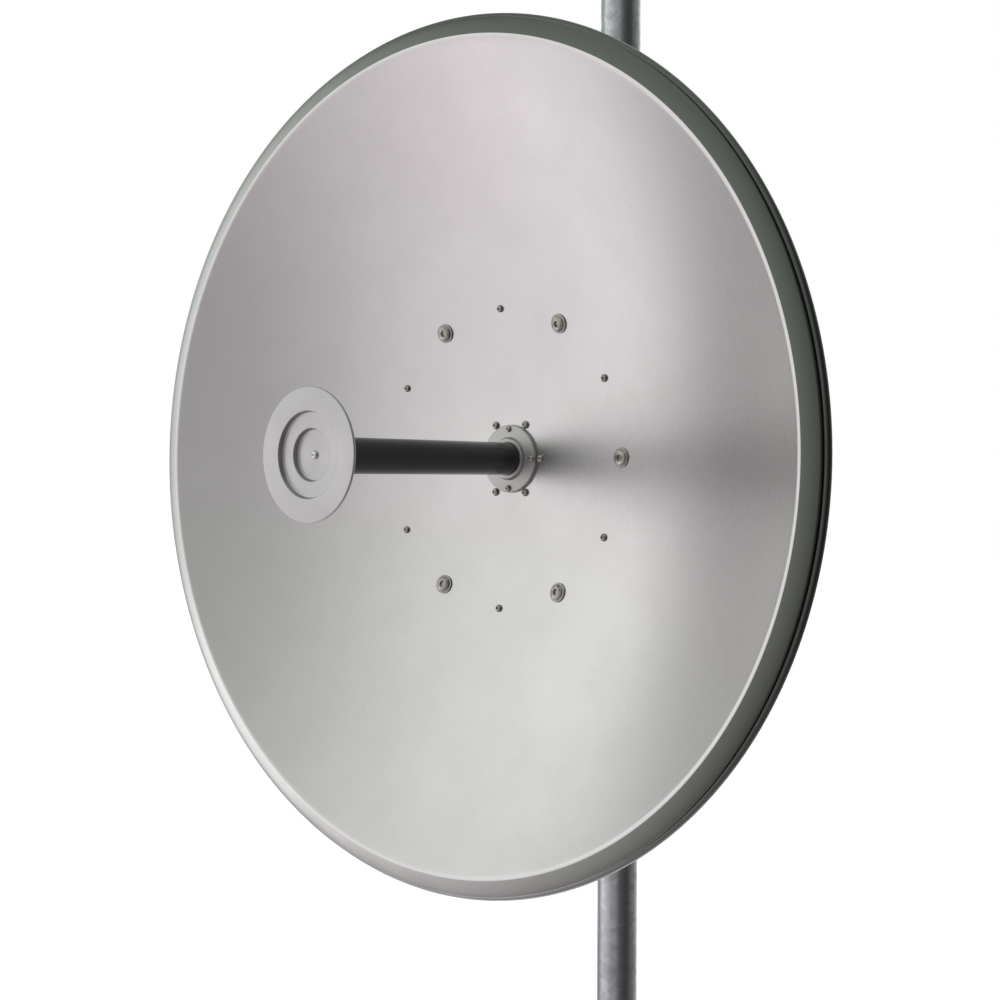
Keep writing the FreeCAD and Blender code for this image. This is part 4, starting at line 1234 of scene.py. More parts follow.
@dataclass
class Bowl:
    """The spun reflector and what is bolted through it. Sizes in millimetres.

    Attributes:
        focal: focal length of the paraboloid.
        sheet: thickness of the sheet along the axis.
        neck: radius of the hole for the feed.
        aperture: radius of the bright crest where the paraboloid ends.
        crest: how far the crest's roll reaches to each side of it.
        rim: outer radius of the flat band round it.
        band_edge: how far outside the aperture the band's finish starts.
        band: how far the band has fallen at shares of its width.
        corner: radius of the band's outer corner.
        groove: how far below the band its groove starts and is at its full depth.
        skirt: radius of the groove behind the band.
        bead: radius of the hem's roll.
        reach: outermost radius of the hem.
        bead_back: how far behind the crest the middle of the hem lies.
        back_edge: where the back of the band meets the back of the paraboloid, out from the aperture
            and behind the sheet.
        bolt_circle: radius of the ring of bolts.
        backing: thickness of the flange behind the bowl that the bolts hold.
        axis: the line that the bowl is turned about.
    """

    focal: float = 342.0
    sheet: float = 2.2
    neck: float = 20.0
    aperture: float = 430.0
    crest: float = 2.4
    rim: float = 450.0
    band_edge: float = 2.2
    band: tuple[tuple[float, float], ...] = ((0.2, 0.25), (0.45, 0.8), (0.7, 1.7), (0.88, 2.7))
    corner: float = 1.6
    groove: tuple[float, float] = (5.4, 6.0)
    skirt: float = 447.4
    bead: float = 4.6
    reach: float = 454.7
    bead_back: float = 12.5
    back_edge: tuple[float, float] = (4.0, 1.1)
    bolt_circle: float = 165.0
    backing: float = 3.0
    axis: DishAxis = field(default_factory=DishAxis.from_frame)

    STEPS = 72
    STEPS_AROUND = 288
    CREST_STEPS = 8

    def depth(self, radius: float) -> float:
        """Height of the front surface at a radius."""
        return radius * radius / (4 * self.focal)

    def lean(self, radius: float) -> float:
        """How far the surface leans at a radius, in radians."""
        return math.atan(radius / (2 * self.focal))

    def outline(self) -> Points:
        """Draws the sheet's section, from the neck up the front, round the hem and down the back.

        Returns:
            The closed outline.
        """
        top = self.depth(self.aperture)
        span = self.aperture - self.crest - self.neck
        front = [self.neck + span * step / self.STEPS for step in range(self.STEPS + 1)]
        points = [(radius, self.depth(radius)) for radius in front]
        # The crest: a tight bright roll from the paraboloid onto the flat band.
        start, lip = self.aperture + self.crest, top - 0.1
        corner = Vector((self.aperture, top))
        points += curve(Vector(points[-1]), corner, Vector((start, lip)), self.CREST_STEPS)[1:]
        # The band falls away towards its rolled outer corner.
        width = self.rim - self.aperture - self.crest
        points += [(start + width * share, lip - fall) for share, fall in self.band]
        # Over the outer corner of the band into the groove.
        band = top - self.corner
        centre = (self.rim - self.corner, band - 2 * self.corner)
        points += arc(centre, self.corner, start=62, end=-20, steps=6)
        middle = top - self.bead_back
        points += [(self.skirt + 0.2, band - self.groove[0]), (self.skirt, band - self.groove[1]),
                   (self.skirt, middle + self.bead - 0.2)]
        # Round the rolled hem, and up the inside of the skirt.
        points += arc((self.reach - self.bead, middle), self.bead, start=104, end=-150, steps=24)
        inner, turn = self.skirt - self.sheet, band - self.sheet - 2.0
        points += [(inner, middle - self.bead + 1.2), (inner, turn)]
        points += arc((inner - 2.0, turn), 2.0, start=0, end=90, steps=4)[1:]
        out, behind = self.back_edge
        points += [(self.aperture + out, top - self.sheet - behind)]
        span = self.neck - self.aperture + 1.0
        back = [self.aperture - 1.0 + span * step / self.STEPS for step in range(self.STEPS + 1)]
        return points + [(radius, self.depth(radius) - self.sheet) for radius in back]

    def build(self) -> None:
        """Builds the reflector and the ring of fasteners through it."""
        bowl = turned("reflector.spun", self.outline(), self.STEPS_AROUND, self.axis.matrix())
        finish_piece(bowl, Finishes.SPUN, "dish", "reflector")
        bowl.data.materials.append(Finishes.material(Finishes.BAND))
        # Faces outside the crest get the band's finish.
        edge = (self.aperture + self.band_edge) * MM
        for face in bowl.data.polygons:
            out = math.hypot(face.center.x, face.center.z - self.axis.height)
            face.material_index = int(out > edge)
        lean, height = self.lean(self.bolt_circle), self.depth(self.bolt_circle)
        large = Ring(self.bolt_circle, 6, first=0, height=height, lean=lean)
        small = Ring(self.bolt_circle, 6, first=30, height=height, lean=lean)
        behind = -(self.sheet + self.backing) * math.cos(lean) - 0.1
        bolt = Bolt(shank=5.0, pitch=1.5, head=10.5, height=4.4, start=0.1, end=-18.0, drive=Drive.SOCKET,
                    socket=6.4, flange=10.5)
        ring_of("bowl_bolts.threaded", bolt, large, Finishes.STAINLESS, "bowl_bolts")
        ring_of("bowl_nuts.threaded", M10.nut(behind - M10.thickness), large, Finishes.ZINC, "bowl_nuts")
        screw = Bolt(shank=2.5, pitch=0.8, head=4.1, height=2.8, start=0.1, end=-12.0, drive=Drive.SOCKET)
        ring_of("bowl_screws.threaded", screw, small, Finishes.STAINLESS, "bowl_screws")
        nut = M5.nut(behind - M5.thickness)
        ring_of("bowl_screw_nuts.threaded", nut, small, Finishes.ZINC, "bowl_screw_nuts")


# ---- back of the dish ----------------------------------------------------------------------


@dataclass
class BackFrame:
    """The pressed ring, the plate bolted to it and the two ears. Sizes in millimetres.

    Attributes:
        drum: how far behind the bowl's deepest point the ring ends.
        plate: thickness of the back plate.
        ear: thickness of an ear's foot.
        inner: inner radius of the coned flange.
        outer: outer radius of the ring's wall.
        flange: outer radius of the flat flange.
        sheet: thickness of the ring's sheet.
        circle: radius of the ring of plate bolts.
        feet: how far across and up from the axis the ear bolts stand.
        lock: how far above the pivot the lock bolts stand.
        axis: the line that the ring is turned about.
    """

    drum: float = 42.0
    plate: float = 6.0
    ear: float = 5.5
    inner: float = 148.0
    outer: float = 186.0
    flange: float = 206.0
    sheet: float = 3.0
    circle: float = 196.0
    feet: tuple[float, float] = (70.0, 60.0)
    lock: float = 60.0
    axis: DishAxis = field(default_factory=DishAxis.from_frame)

    def ring_outline(self) -> Points:
        """Draws the ring's section: a coned flange against the bowl, the wall and a flat flange behind.

        Returns:
            The closed outline.
        """
        bowl = Bowl()

        def cone(radius: float, drop: float = 0.0) -> float:
            """Height of the coned flange at a radius."""
            slope = math.tan(bowl.lean(bowl.bolt_circle))
            return bowl.depth(bowl.bolt_circle) - bowl.sheet + slope * (radius - bowl.bolt_circle) - drop

        wall = self.outer - self.sheet
        corners = [(self.inner, cone(self.inner)), (self.outer, cone(self.outer)),
                   (self.outer, self.sheet - self.drum), (self.flange, self.sheet - self.drum),
                   (self.flange, -self.drum), (wall, -self.drum), (wall, cone(wall, self.sheet)),
                   (self.inner, cone(self.inner, self.sheet))]
        return rounded(corners, radius=2.4)

    def build(self) -> None:
        """Builds the ring, the plate, the ears and their fasteners."""
        ring = turned("back_ring.pressed", self.ring_outline(), LARGE_ROUND, self.axis.matrix())
        finish_piece(ring, Finishes.PRESSED, "dish", "back_ring")
        dress_copy("back_plate", Finishes.PLATE, "dish", width_mm=0.7)
        for ear in ("ear_right", "ear_left"):
            dress_copy(ear, Finishes.PLATE, "dish", width_mm=0.8)
        spots = Ring(self.circle, 6, first=30, height=-self.drum)
        bolt = M8.bolt(self.sheet, -self.plate - 9)
        ring_of("plate_bolts.threaded", bolt, spots, Finishes.ZINC, "plate_bolts")
        nut = M8.nut(-self.plate - M8.thickness)
        ring_of("plate_nuts.threaded", nut, spots, Finishes.ZINC, "plate_nuts")
        across, up = self.feet
        places = [self.axis.matrix() @ shift(side * across, rise * up, 0)
                  for side in BOTH_SIDES for rise in BOTH_SIDES]
        flipped = [place @ OVER for place in places]
        behind = self.drum + self.plate + self.ear
        bolt = M8.bolt(behind, behind - 20.5)
        spread("ear_bolts.threaded", bolt, flipped, Finishes.ZINC, "dish", "ear_bolts")
        spread("ear_nuts.threaded", M8.nut(-self.drum), places, Finishes.ZINC, "dish", "ear_nuts")
        ends = Pivot.from_frame().ends(self.lock)
        washer = Washer(bore=4.0, radius=8.5, low=56.3, high=57.9)
        bolt = M8.bolt(start=-44.2, end=-70.0)
        spread("lock_bolts.threaded", bolt, ends, Finishes.ZINC, "dish", "lock_bolts")
        spread("lock_washers.flat", washer, ends, Finishes.ZINC, "dish", "lock_washers")
        spread("lock_nuts.threaded", M8.nut(washer.high), ends, Finishes.ZINC, "dish", "lock_nuts")


# ---- bracket on the mast -------------------------------------------------------------------


@dataclass
class Bracket:
    """The channel, the blocks and U-bolts that clamp it to the mast. Sizes in millimetres.

    Attributes:
        bend: radius of a U-bolt's bend, to the middle of the bar.
        bar: radius of its bar.
        leg: how far in front of the mast's axis its legs end.
        threads: how much of each leg is threaded.
        pitch: of the thread.
        groove: depth of the thread.
        face: where the washers bear on the web.
        spacing: how far above and below the dish axis the U-bolts lie.
        axis: the dish axis, for its height.
    """

    bend: float = 29.45
    bar: float = 5.0
    leg: float = 64.0
    threads: float = 34.0
    pitch: float = 1.5
    groove: float = 0.8
    face: float = 46.0
    spacing: float = 65.0
    axis: DishAxis = field(default_factory=DishAxis.from_frame)

    BEND_STEPS = 32

    def u_bolt(self, solid: Solid, height: float) -> None:
        """Adds one U-bolt: round the back of the mast, then forward along two threaded legs.

        Args:
            solid: what the bar is added to.
            height: of the U-bolt in metres.
        """
        path, radii = [], []
        halves = round(self.threads / self.pitch * 2)
        for step in range(halves + 1):
            path.append((self.bend, -self.leg + self.threads * step / halves))
            radii.append(self.bar - (self.groove if step == 0 or step % 2 else 0.0))
        path.append((self.bend, -self.leg + self.threads + self.groove))
        radii.append(self.bar)
        for step in range(self.BEND_STEPS + 1):
            turn = math.pi * step / self.BEND_STEPS
            path.append((self.bend * math.cos(turn), self.bend * math.sin(turn)))
            radii.append(self.bar)
        path += [(-across, along) for across, along in reversed(path[: halves + 2])]
        radii += list(reversed(radii[: halves + 2]))
        solid.sweep([Vector((across * MM, along * MM, height)) for across, along in path], radii)

    def build(self) -> None:
        """Builds the bracket and its fasteners."""
        dress_copy("clamp_channel", Finishes.PLATE, "bracket", width_mm=1.0)
        for saddle in ("saddle_upper", "saddle_lower"):
            dress_copy(saddle, Finishes.PLATE, "bracket", width_mm=0.8)
        heights = [self.axis.height + side * self.spacing * MM for side in BOTH_SIDES]
        solid = Solid()
        for height in heights:
            self.u_bolt(solid, height)
        solid.finished("u_bolts.threaded", Finishes.ZINC, "bracket", "u_bolts")
        legs = [Matrix.Translation((side * self.bend * MM, 0, height)) @ TO_FRONT
                for side in BOTH_SIDES for height in heights]
        washer = Washer(bore=self.bar, radius=10.5, low=self.face, high=self.face + 2)
        spread("u_bolt_washers.flat", washer, legs, Finishes.ZINC, "bracket", "u_bolt_washers")
        spread("u_bolt_nuts.threaded", M10.nut(washer.high), legs, Finishes.ZINC, "bracket", "u_bolt_nuts")
        ends = Pivot.from_frame().ends()
        washer = Washer(bore=6.0, radius=12.0, low=56.0, high=58.5)
        bolt = M12.bolt(washer.high, end=29.9)
        spread("pivot_bolts.threaded", bolt, ends, Finishes.ZINC, "bracket", "pivot_bolts")
        spread("pivot_washers.flat", washer, ends, Finishes.ZINC, "bracket", "pivot_washers")
        spread("pivot_nuts.threaded", M12.nut(low=33.1), ends, Finishes.ZINC, "bracket", "pivot_nuts")


@dataclass
class Adjuster:
    """The threaded rod that sets the elevation, between an eye and a trunnion. Millimetres.

    Attributes:
        bar: radius of the rod's thread.
        length: from the middle of the eye to the rod's end.
        eye: outer radius of the eye.
        eye_half: half its thickness.
        stem: where the plain stem starts, where it ends and where the thread starts.
        pitch: of the thread.
        block_half: half the trunnion block's thickness along the rod.
    """

    bar: float = 5.0
    length: float = 142.0
    eye: float = 11.0
    eye_half: float = 5.9
    stem: tuple[float, float, float] = (8.0, 24.0, 25.0)
    pitch: float = 1.5
    block_half: float = 9.0

    def build(self) -> None:
        """Builds the rod, the trunnion and their fasteners."""
        eye = Matrix.Translation(Vector(joint_spot("rod_swing")))
        trunnion = Matrix.Translation(Vector(joint_spot("trunnion_swing")))
        rod = Solid()
        bore, half, soft = self.bar + 0.05, self.eye_half, 0.8
        rod.loft([circle(bore, half), circle(self.eye - soft, half), circle(self.eye, half - soft),
                  circle(self.eye, soft - half), circle(self.eye - soft, -half), circle(bore, -half)],
                 eye @ TO_SIDE, closed=True)
        low, high, threaded = self.stem
        stem = [circle(self.bar, low), circle(self.bar, high)]
        stem += thread(self.bar, threaded, self.length - soft, self.pitch)
        rod.loft([*stem, circle(self.bar - 1, self.length)], eye @ TO_BACK)
        rod.finished("adjusting_rod.threaded", Finishes.ZINC, "link", "adjusting_rod")
        bolt = M10.bolt(start=11.7, end=-16.0)
        spread("eye_bolt.threaded", bolt, [eye @ TO_SIDE], Finishes.ZINC, "dish", "eye_bolt")
        nut = M10.nut(-half - 0.3 - M10.thickness)
        spread("eye_nut.threaded", nut, [eye @ TO_SIDE], Finishes.ZINC, "dish", "eye_nut")
        dress_copy("trunnion", Finishes.for_node("trunnion"), "swivel", width_mm=0.8)
        clip = Washer(bore=6.0, radius=10.0, low=18.3, high=19.8)
        spread("trunnion_clip.flat", clip, [trunnion @ TO_SIDE], Finishes.ZINC, "swivel", "trunnion_clip")
        nut = Nut(bore, M10.flats, self.block_half, self.block_half + M10.thickness)
        places = [trunnion @ TO_BACK, trunnion @ TO_BACK @ OVER]
        spread("setting_nuts.threaded", nut, places, Finishes.ZINC, "swivel", "setting_nuts")


# ---- hub and feed --------------------------------------------------------------------------


@dataclass
class Hub:
    """The flange in front of the bowl, the plate and the split clamp behind it. Millimetres.

    Attributes:
        bore: radius of the holes that the sleeve turns in.
        spigot: radius of the flange's spigot through the bowl.
        flange: outer radius of the flange.
        collar: outer radius of the raised collar on it.
        plate: outer radius of the hub plate.
        back: height of the hub plate's back.
        screw_circle: radius of the ring of screws through the bowl.
        flange_circle: radius of the ring of screws on the flange.
        clamp_spot: how far above the axis and behind the plate the clamp screw lies.
        axis: the line that the hub is turned about.
    """

    bore: float = 18.06
    spigot: float = 19.8
    flange: float = 37.5
    collar: float = 24.0
    plate: float = 54.0
    back: float = -9.0
    screw_circle: float = 43.0
    flange_circle: float = 33.0
    clamp_spot: tuple[float, float] = (32.5, 5.0)
    axis: DishAxis = field(default_factory=DishAxis.from_frame)

    def build(self) -> None:
        """Builds the hub and its fasteners."""
        low, face, top = 1.1, 4.9, 9.4
        outline = [(self.bore, -2.2), (self.spigot, -2.2), (self.spigot, low), (self.flange, low),
                   (self.flange, face - 0.8), (self.flange - 0.8, face), (self.collar, face),
                   (self.collar - 1.5, top - 1.0), (self.collar - 2.5, top), (self.bore, top)]
        flange = turned("feed_flange.turned", rounded(outline, radius=0.5), SMALL_ROUND, self.axis.matrix())
        finish_piece(flange, Finishes.TURNED, "dish", "feed_flange")
        outline = [(self.bore, -2.4), (self.plate, -2.4), (self.plate, self.back), (self.bore, self.back)]
        plate = turned("hub_plate.turned", rounded(outline, radius=0.8), SMALL_ROUND, self.axis.matrix())
        finish_piece(plate, Finishes.TURNED, "dish", "hub_plate")
        # The rim of each head clears the bowl, which rises outwards.
        head = 4.3
        lift = (self.screw_circle + head) ** 2 / (4 * Bowl.focal) + 0.1
        screw = Bolt(shank=2.5, pitch=0.8, head=head, height=2.8, start=lift, end=self.back - 6,
                     drive=Drive.SOCKET)
        ring = Ring(self.screw_circle, 6)
        ring_of("hub_screws.threaded", screw, ring, Finishes.STAINLESS, "hub_screws")
        ring_of("hub_nuts.threaded", M5.nut(self.back - M5.thickness), ring, Finishes.ZINC, "hub_nuts")
        screw = Bolt(shank=2.0, pitch=0.7, head=3.6, height=2.4, start=face, end=self.back + 1,
                     drive=Drive.SOCKET, socket=2.5)
        ring = Ring(self.flange_circle, 4)
        ring_of("flange_screws.threaded", screw, ring, Finishes.STAINLESS, "flange_screws")
        dress_copy("feed_clamp", Finishes.TURNED, "dish", width_mm=0.5)
        up, behind = self.clamp_spot
        places = [self.axis.matrix() @ shift(0, up, self.back - behind) @ TO_SIDE]
        screw = Bolt(shank=2.5, pitch=0.8, head=4.3, height=3.0, start=10.0, end=-12.0, drive=Drive.SOCKET)
        spread("clamp_screw.threaded", screw, places, Finishes.STAINLESS, "dish", "clamp_screw")


@dataclass
class Feed:
    """The sleeve, the splash plate at its end and the coaxial fitting at its back. Millimetres.

    Attributes:
        sleeve: outer radius of the sleeve.
        sleeve_bore: its inner radius.
        start: height of its back end.
        end: height of its front end.
        collar: the collar's radius at its back and its front.
        face: height of the splash plate's front.
        sheet: thickness of the plate.
        radius: of the plate.
        screw_hole: radius of the hole in its middle.
        steps: radii of its two steps.
        drop: height of each step.
        port: height of the connector's axis.
        port_bore: radius of the connector's bore.
        port_thread: radius of its thread.
        axis: the line that the feed turns on.
    """

    sleeve: float = 18.0
    sleeve_bore: float = 16.8
    start: float = -22.0
    end: float = 284.0
    collar: tuple[float, float] = (19.0, 22.7)
    face: float = 300.0
    sheet: float = 3.0
    radius: float = 65.0
    screw_hole: float = 2.1
    steps: tuple[float, float] = (41.5, 25.0)
    drop: float = 5.0
    port: float = -33.0
    port_bore: float = 4.2
    port_thread: float = 7.9
    axis: DishAxis = field(default_factory=DishAxis.from_frame)

    def splash_outline(self) -> Points:
        """Draws the plate's section: rim, two steps down to the floor, and the same behind.

        Returns:
            The closed outline.
        """
        outer, inner = self.steps
        first, floor, back = self.face - self.drop, self.face - 2 * self.drop, self.face - self.sheet
        corners = [(self.screw_hole, floor), (inner - 0.5, floor), (inner + 0.5, first), (outer - 0.5, first),
                   (outer + 0.5, self.face), (self.radius, self.face), (self.radius, back),
                   (outer + 2.5, back), (outer + 1.5, back - self.drop), (inner + 2.5, back - self.drop),
                   (inner + 1.5, back - 2 * self.drop), (self.screw_hole, back - 2 * self.drop)]
        return rounded(corners, radius=0.9)

    def connector(self) -> list[Section]:
        """Lofts the connector's shell along its own axis: a base, a neck and the thread.

        Returns:
            The closed loft.
        """
        bore, base, soft = self.port_bore, 10.5, 0.3
        return [circle(bore, 24.0), circle(base - soft, 24.0), circle(base, 24.0 + soft),
                circle(base, 27.0 - soft), circle(base - soft, 27.0), circle(7.0, 27.0), circle(7.0, 28.2),
                *thread(self.port_thread, 28.6, 42.2, 1.06), circle(7.1, 43.0), circle(bore, 43.0)]

    def build(self) -> None:
        """Builds the feed."""
        place = self.axis.matrix()
        outline = [(self.sleeve_bore, self.start), (self.sleeve, self.start), (self.sleeve, self.end),
                   (self.sleeve_bore, self.end)]
        sleeve = turned("feed_tube.drawn", rounded(outline, radius=0.3), SMALL_ROUND, place)
        finish_piece(sleeve, Finishes.BLACK, "feed", "feed_tube")
        bore, low, high = self.sleeve + 0.05, self.end - 7, self.end + 2
        outline = [(bore, low), (self.collar[0], low), (self.collar[1], high), (bore, high)]
        collar = turned("feed_collar.turned", rounded(outline, radius=0.4), SMALL_ROUND, place)
        finish_piece(collar, Finishes.TURNED, "feed", "feed_collar")
        splash = turned("splash_plate.turned", self.splash_outline(), LARGE_ROUND, place)
        finish_piece(splash, Finishes.PLATE_TURNED, "feed", "splash_plate")
        floor = self.face - 2 * self.drop
        screw = Bolt(shank=2.0, pitch=0.7, head=4.0, height=2.8, start=floor, end=floor - 13,
                     drive=Drive.SOCKET, socket=2.5)
        # The screw's near-white tone is a painted highlight.
        spread("splash_screw.threaded", screw, [place], Finishes.PAINTED_GLINT_STAINLESS, "feed", "splash_screw")
        dress_copy("feed_housing", Finishes.for_node("feed_housing"), "feed", width_mm=0.6)
        shell = Solid()
        shell.loft(self.connector(), place @ shift(0, 0, self.port) @ TO_FRONT, closed=True)
        shell.finished("connector_shell.threaded", Finishes.NICKEL, "feed", "connector_shell")


@dataclass
class Mast:
    """The pipe and its cap. Sizes in millimetres.

    Attributes:
        radius: outer radius of the pipe.
        bore: its inner radius.
        length: of the pipe.
        burr: how much is taken off each sawn edge.
        cap_wall: thickness of the cap's skirt.
        cap_top: height of the cap's top above the pipe.
        cap_skirt: how far the skirt reaches down.
        cap_hollow: height of the hollow under the cap's top.
    """

    radius: float = 24.15
    bore: float = 21.25
    length: float = 1500.0
    burr: float = 0.4
    cap_wall: float = 1.8
    cap_top: float = 4.0
    cap_skirt: float = 25.0
    cap_hollow: float = 2.0

    STEPS = 12

    def build(self) -> None:
        """Builds the pipe with sawn, deburred ends, and the cap pushed over its top."""
        upright = Matrix.Identity(4)
        out, bore, top, burr = self.radius, self.bore, self.length, self.burr
        rows = [(out, top * step / self.STEPS) for step in range(1, self.STEPS)]
        outline = [(bore, burr), (bore + burr, 0.0), (out - burr, 0.0), (out, burr), *rows,
                   (out, top - burr), (out - burr, top), (bore + burr, top), (bore, top - burr)]
        pipe = turned("mast_tube.galvanised", outline, SMALL_ROUND, upright)
        finish_piece(pipe, Finishes.PIPE, "mast", "mast_tube")
        skin, fit, inside = out + self.cap_wall, out + 0.05, bore + 0.3
        crown, foot, hollow = top + self.cap_top, top - self.cap_skirt, top + self.cap_hollow
        corners = [(0.0, crown), (skin, crown), (skin, foot), (fit, foot), (fit, top), (inside, top),
                   (inside, hollow), (0.0, hollow)]
        cap = turned("mast_cap.moulded", rounded(corners, radius=1.6), SMALL_ROUND, upright)
        finish_piece(cap, Finishes.CAP, "mast", "mast_cap")


# ---- stage ---------------------------------------------------------------------------------


@dataclass
class Stage:
    """Floor, light and camera. Directions are in the row frame.

    Attributes:
        azimuth: of the camera in degrees, 0 in front of the dish and growing to its -Y +X side.
        elevation: of the camera in degrees.
        roll: of the camera in degrees.
        distance: of the camera from its target, in metres.
        target: what the camera turns about, in metres.
        lens: focal length in millimetres.
        shift_up: how far the picture is shifted up.
        bright_side: towards the bright end of the wall in front.
        front: brightness of the wall in front.
        bright: what its bright end adds.
        dim: brightness beside the dish.
        side_loss: share of the light lost behind the wall's edge, low down and high up.
        rear: brightness of the wall behind.
        ground: brightness of the ground behind.
        higher: how much brighter it is straight up.
        low_tint: colour of the light from below.
        high_tint: colour of the light from above.
        floor_light: how far the floor glows by itself, so that it shows white.
    """

    azimuth: float = 40.82
    elevation: float = -0.11
    roll: float = 0.25
    distance: float = 1.38875
    target: tuple[float, float, float] = (0.10009, -0.338, 0.78275)
    lens: float = 50.39
    shift_up: float = -0.0261
    bright_side: tuple[float, float, float] = (-0.88, -0.47, 0.0)
    front: float = 0.5
    bright: float = 0.62
    dim: float = 0.08
    side_loss: tuple[float, float] = (0.64, 0.50)
    rear: float = 0.9
    ground: float = 0.9
    higher: float = 0.13
    low_tint: str = "#FFF9FD"
    high_tint: str = "#FBFFFC"
    floor_light: float = 0.62

    def camera(self) -> None:
        """Puts the camera a little to the dish's right of its axis, level with it."""
        data = bpy.data.cameras.new("camera")
        data.lens = self.lens
        data.sensor_width = 36.0
        data.shift_y = self.shift_up
        data.clip_start = 0.01
        data.clip_end = 100.0
        camera = bpy.data.objects.new("camera", data)
        bpy.context.scene.collection.objects.link(camera)
        back = direction(self.azimuth, self.elevation)
        camera.location = Vector(self.target) + back * self.distance
        level = (-back).to_track_quat("-Z", "Y")
        camera.rotation_mode = "QUATERNION"
        camera.rotation_quaternion = level @ Matrix.Rotation(math.radians(self.roll), 3, "Z").to_quaternion()
        bpy.context.scene.camera = camera

    def floor(self) -> None:
        """A plain pale floor under the mast."""
        mesh = bpy.data.meshes.new("floor")
        half = 12.0
        corners = [(-half, -half, 0), (half, -half, 0), (half, half, 0), (-half, half, 0)]
        mesh.from_pydata(corners, [], [(0, 1, 2, 3)])
        floor = new_piece("floor", mesh)
        made = bpy.data.materials.new("pale floor")
        made.use_nodes = True
        shader = made.node_tree.nodes["Principled BSDF"]
        shader.inputs["Base Color"].default_value = linear("#F6F6F5")
        shader.inputs["Roughness"].default_value = 0.9
        shader.inputs["Emission Color"].default_value = (1, 1, 1, 1)
        shader.inputs["Emission Strength"].default_value = self.floor_light
        mesh.materials.append(made)
        floor.visible_glossy = False

    def panel(
        self, name: str, azimuth: float, elevation: float, distance: float, size: tuple[float, float],
        power: float,
    ) -> None:
        """A soft light panel that faces the middle of the bowl.

        Args:
            name: the light's name.
            azimuth: in degrees, 0 in front of the dish and growing to its -Y +X side.
            elevation: in degrees above the dish axis.
            distance: from the bowl.
            size: width and height of the panel.
            power: in watts.
        """
        data = bpy.data.lights.new(name, "AREA")
        data.shape = "RECTANGLE"
        data.size, data.size_y = size
        data.energy = power
        light = bpy.data.objects.new(name, data)
        bpy.context.scene.collection.objects.link(light)
        out = direction(azimuth, elevation)
        axis = DishAxis.from_frame()
        light.location = Vector((0, axis.vertex, axis.height)) + out * distance
        light.visible_camera = False
        light.rotation_mode = "QUATERNION"
        light.rotation_quaternion = out.to_track_quat("Z", "Y")

    def level(self, tree: bpy.types.NodeTree, away: Any) -> Any:
        """Builds how bright the studio is in each direction.

        A soft wall stands in front, brightest at its left end, and falls off sharply beside the dish,
        sooner the higher up it is. There is a wall behind on the left, and pale ground under that.

        Args:
            tree: the world's tree.
            away: the socket that gives the direction.

        Returns:
            A socket with the brightness.
        """
        x, y, z = add_node(tree, "ShaderNodeSeparateXYZ", inputs={0: away}).outputs
        facing = output(tree, "ShaderNodeVectorMath", DOT, {0: away, 1: self.bright_side}, "Value")
        # Each smooth step: of what, from where to where, and its values there.
        ramps = {
            "even": (x, 0.3, 0.8, self.front, self.dim),
            "bright": (facing, 0.35, 1.0, 0.0, self.bright),
            "lean": (z, 0.0, 0.6, 0.0, 0.22),
            "loss": (z, -0.2, 0.3, *self.side_loss),
            "left": (x, -0.3, 0.5, 1.0, 0.2),
            "rear": (y, 0.1, 0.6, 0.0, self.rear),
            "ground": (z, -0.75, -0.45, self.ground, 0.0),
            "behind": (y, -0.25, 0.05, 0.0, 1.0),
        }
        names = ("Value", "From Min", "From Max", "To Min", "To Max")
        step = {name: output(tree, "ShaderNodeMapRange", SMOOTH, dict(zip(names, ramp)))
                for name, ramp in ramps.items()}
        wall = output(tree, SUM, PLUS, {0: step["even"], 1: step["bright"]})
        edge = output(tree, SUM, PLUS, {0: y, 1: step["lean"]})
        limits = {"Value": edge, "From Min": -0.40, "From Max": -0.10}
        beside = output(tree, "ShaderNodeMapRange", SMOOTH, limits)
        loss = output(tree, SUM, TIMES, {0: beside, 1: step["loss"]})
        cut = output(tree, SUM, TIMES, {0: wall, 1: output(tree, SUM, MINUS, {0: 1.0, 1: loss})})
        rear = output(tree, SUM, TIMES, {0: step["left"], 1: step["rear"]})
        under = output(tree, SUM, TIMES, {0: step["ground"], 1: step["behind"]})
        below = output(tree, SUM, TIMES, {0: step["left"], 1: under})
        rise = output(tree, SUM, TIMES, {0: z, 1: self.higher})
        higher = output(tree, SUM, PLUS, {0: 1.0, 1: rise})
        both = output(tree, SUM, PLUS, {0: cut, 1: rear})
        walls = output(tree, SUM, TIMES, {0: both, 1: higher})
        return output(tree, SUM, PLUS, {0: walls, 1: below})

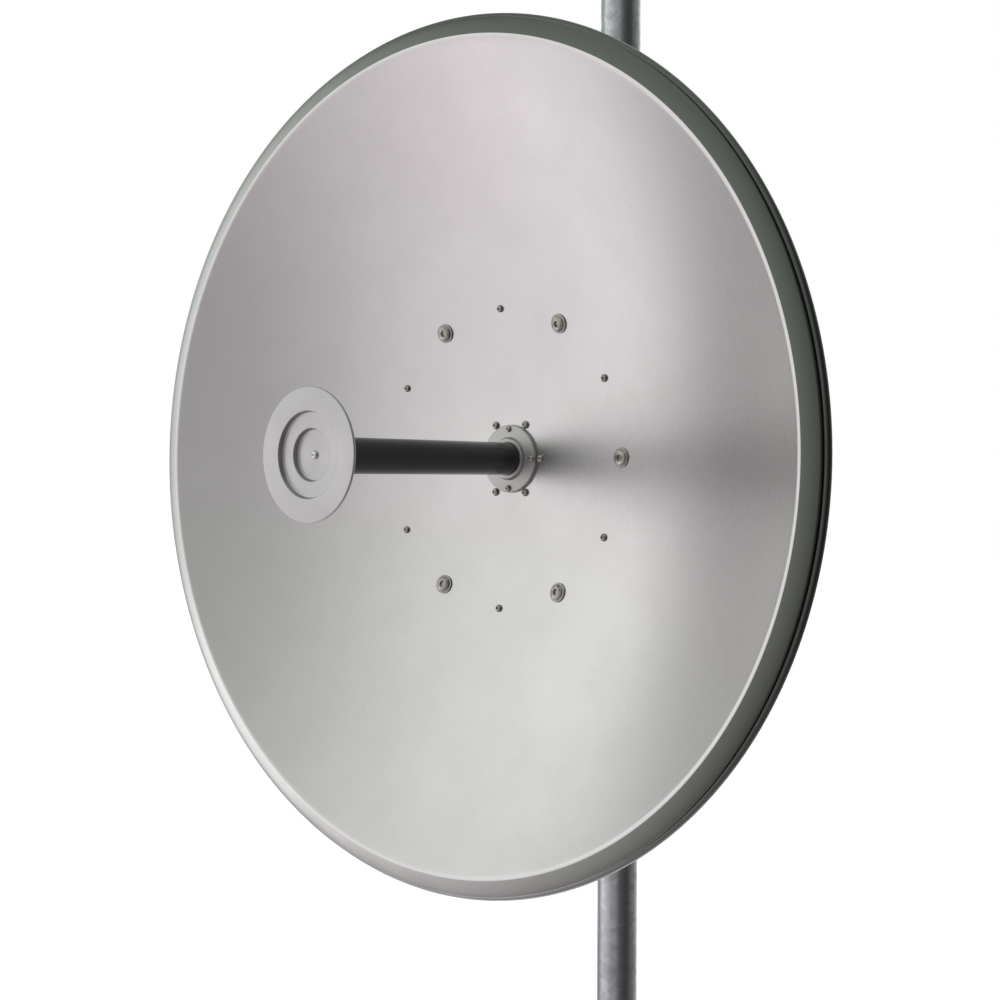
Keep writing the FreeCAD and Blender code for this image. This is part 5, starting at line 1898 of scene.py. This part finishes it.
    def sky(self) -> None:
        """A white backdrop to look at, and the studio for the metal to reflect."""
        world = bpy.data.worlds.new("studio")
        bpy.context.scene.world = world
        world.use_nodes = True
        tree = world.node_tree
        tree.nodes.clear()
        away = output(tree, "ShaderNodeTexCoord", place="Generated")
        seen = output(tree, "ShaderNodeBackground", inputs={"Color": (1, 1, 1, 1), "Strength": 1.0})
        height = output(tree, "ShaderNodeSeparateXYZ", inputs={0: away}, place="Z")
        limits = {"Value": height, "From Min": -0.4, "From Max": 0.4}
        share = output(tree, "ShaderNodeMapRange", inputs=limits)
        colours = {0: share, 6: linear(self.low_tint), 7: linear(self.high_tint)}
        tint = output(tree, "ShaderNodeMix", {"data_type": "RGBA"}, colours, 2)
        inputs = {"Color": tint, "Strength": self.level(tree, away)}
        felt = output(tree, "ShaderNodeBackground", inputs=inputs)
        ray = output(tree, "ShaderNodeLightPath", place="Is Camera Ray")
        mixed = output(tree, "ShaderNodeMixShader", inputs={0: ray, 1: felt, 2: seen})
        add_node(tree, "ShaderNodeOutputWorld", inputs={"Surface": mixed})

    def build(self) -> None:
        """Builds the whole stage."""
        self.camera()
        self.floor()
        self.sky()
        self.panel("upper left", azimuth=-64, elevation=24, distance=2.2, size=(0.6, 1.3), power=1)
        self.panel("lower left", azimuth=-62, elevation=-22, distance=1.5, size=(0.6, 0.6), power=1)
        self.panel("overhead", azimuth=10, elevation=75, distance=3.0, size=(3.0, 3.0), power=10)
        bpy.context.scene.view_settings.view_transform = "Standard"


def dress_frame() -> None:
    """Gives every CAD node its finish, for those that no finer piece stands for."""
    for name, part in FRAME["nodes"].items():
        part.data.materials.clear()
        part.data.materials.append(Finishes.material(Finishes.for_node(name)))


def main() -> None:
    """Builds the antenna round its frame."""
    logging.basicConfig(level=logging.INFO, format="%(message)s")
    FRAME.update(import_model())
    Stage().build()
    for assembly in (Mast(), Bracket(), Bowl(), BackFrame(), Adjuster(), Hub(), Feed()):
        assembly.build()
    dress_frame()


if __name__ == "__main__":
    main()
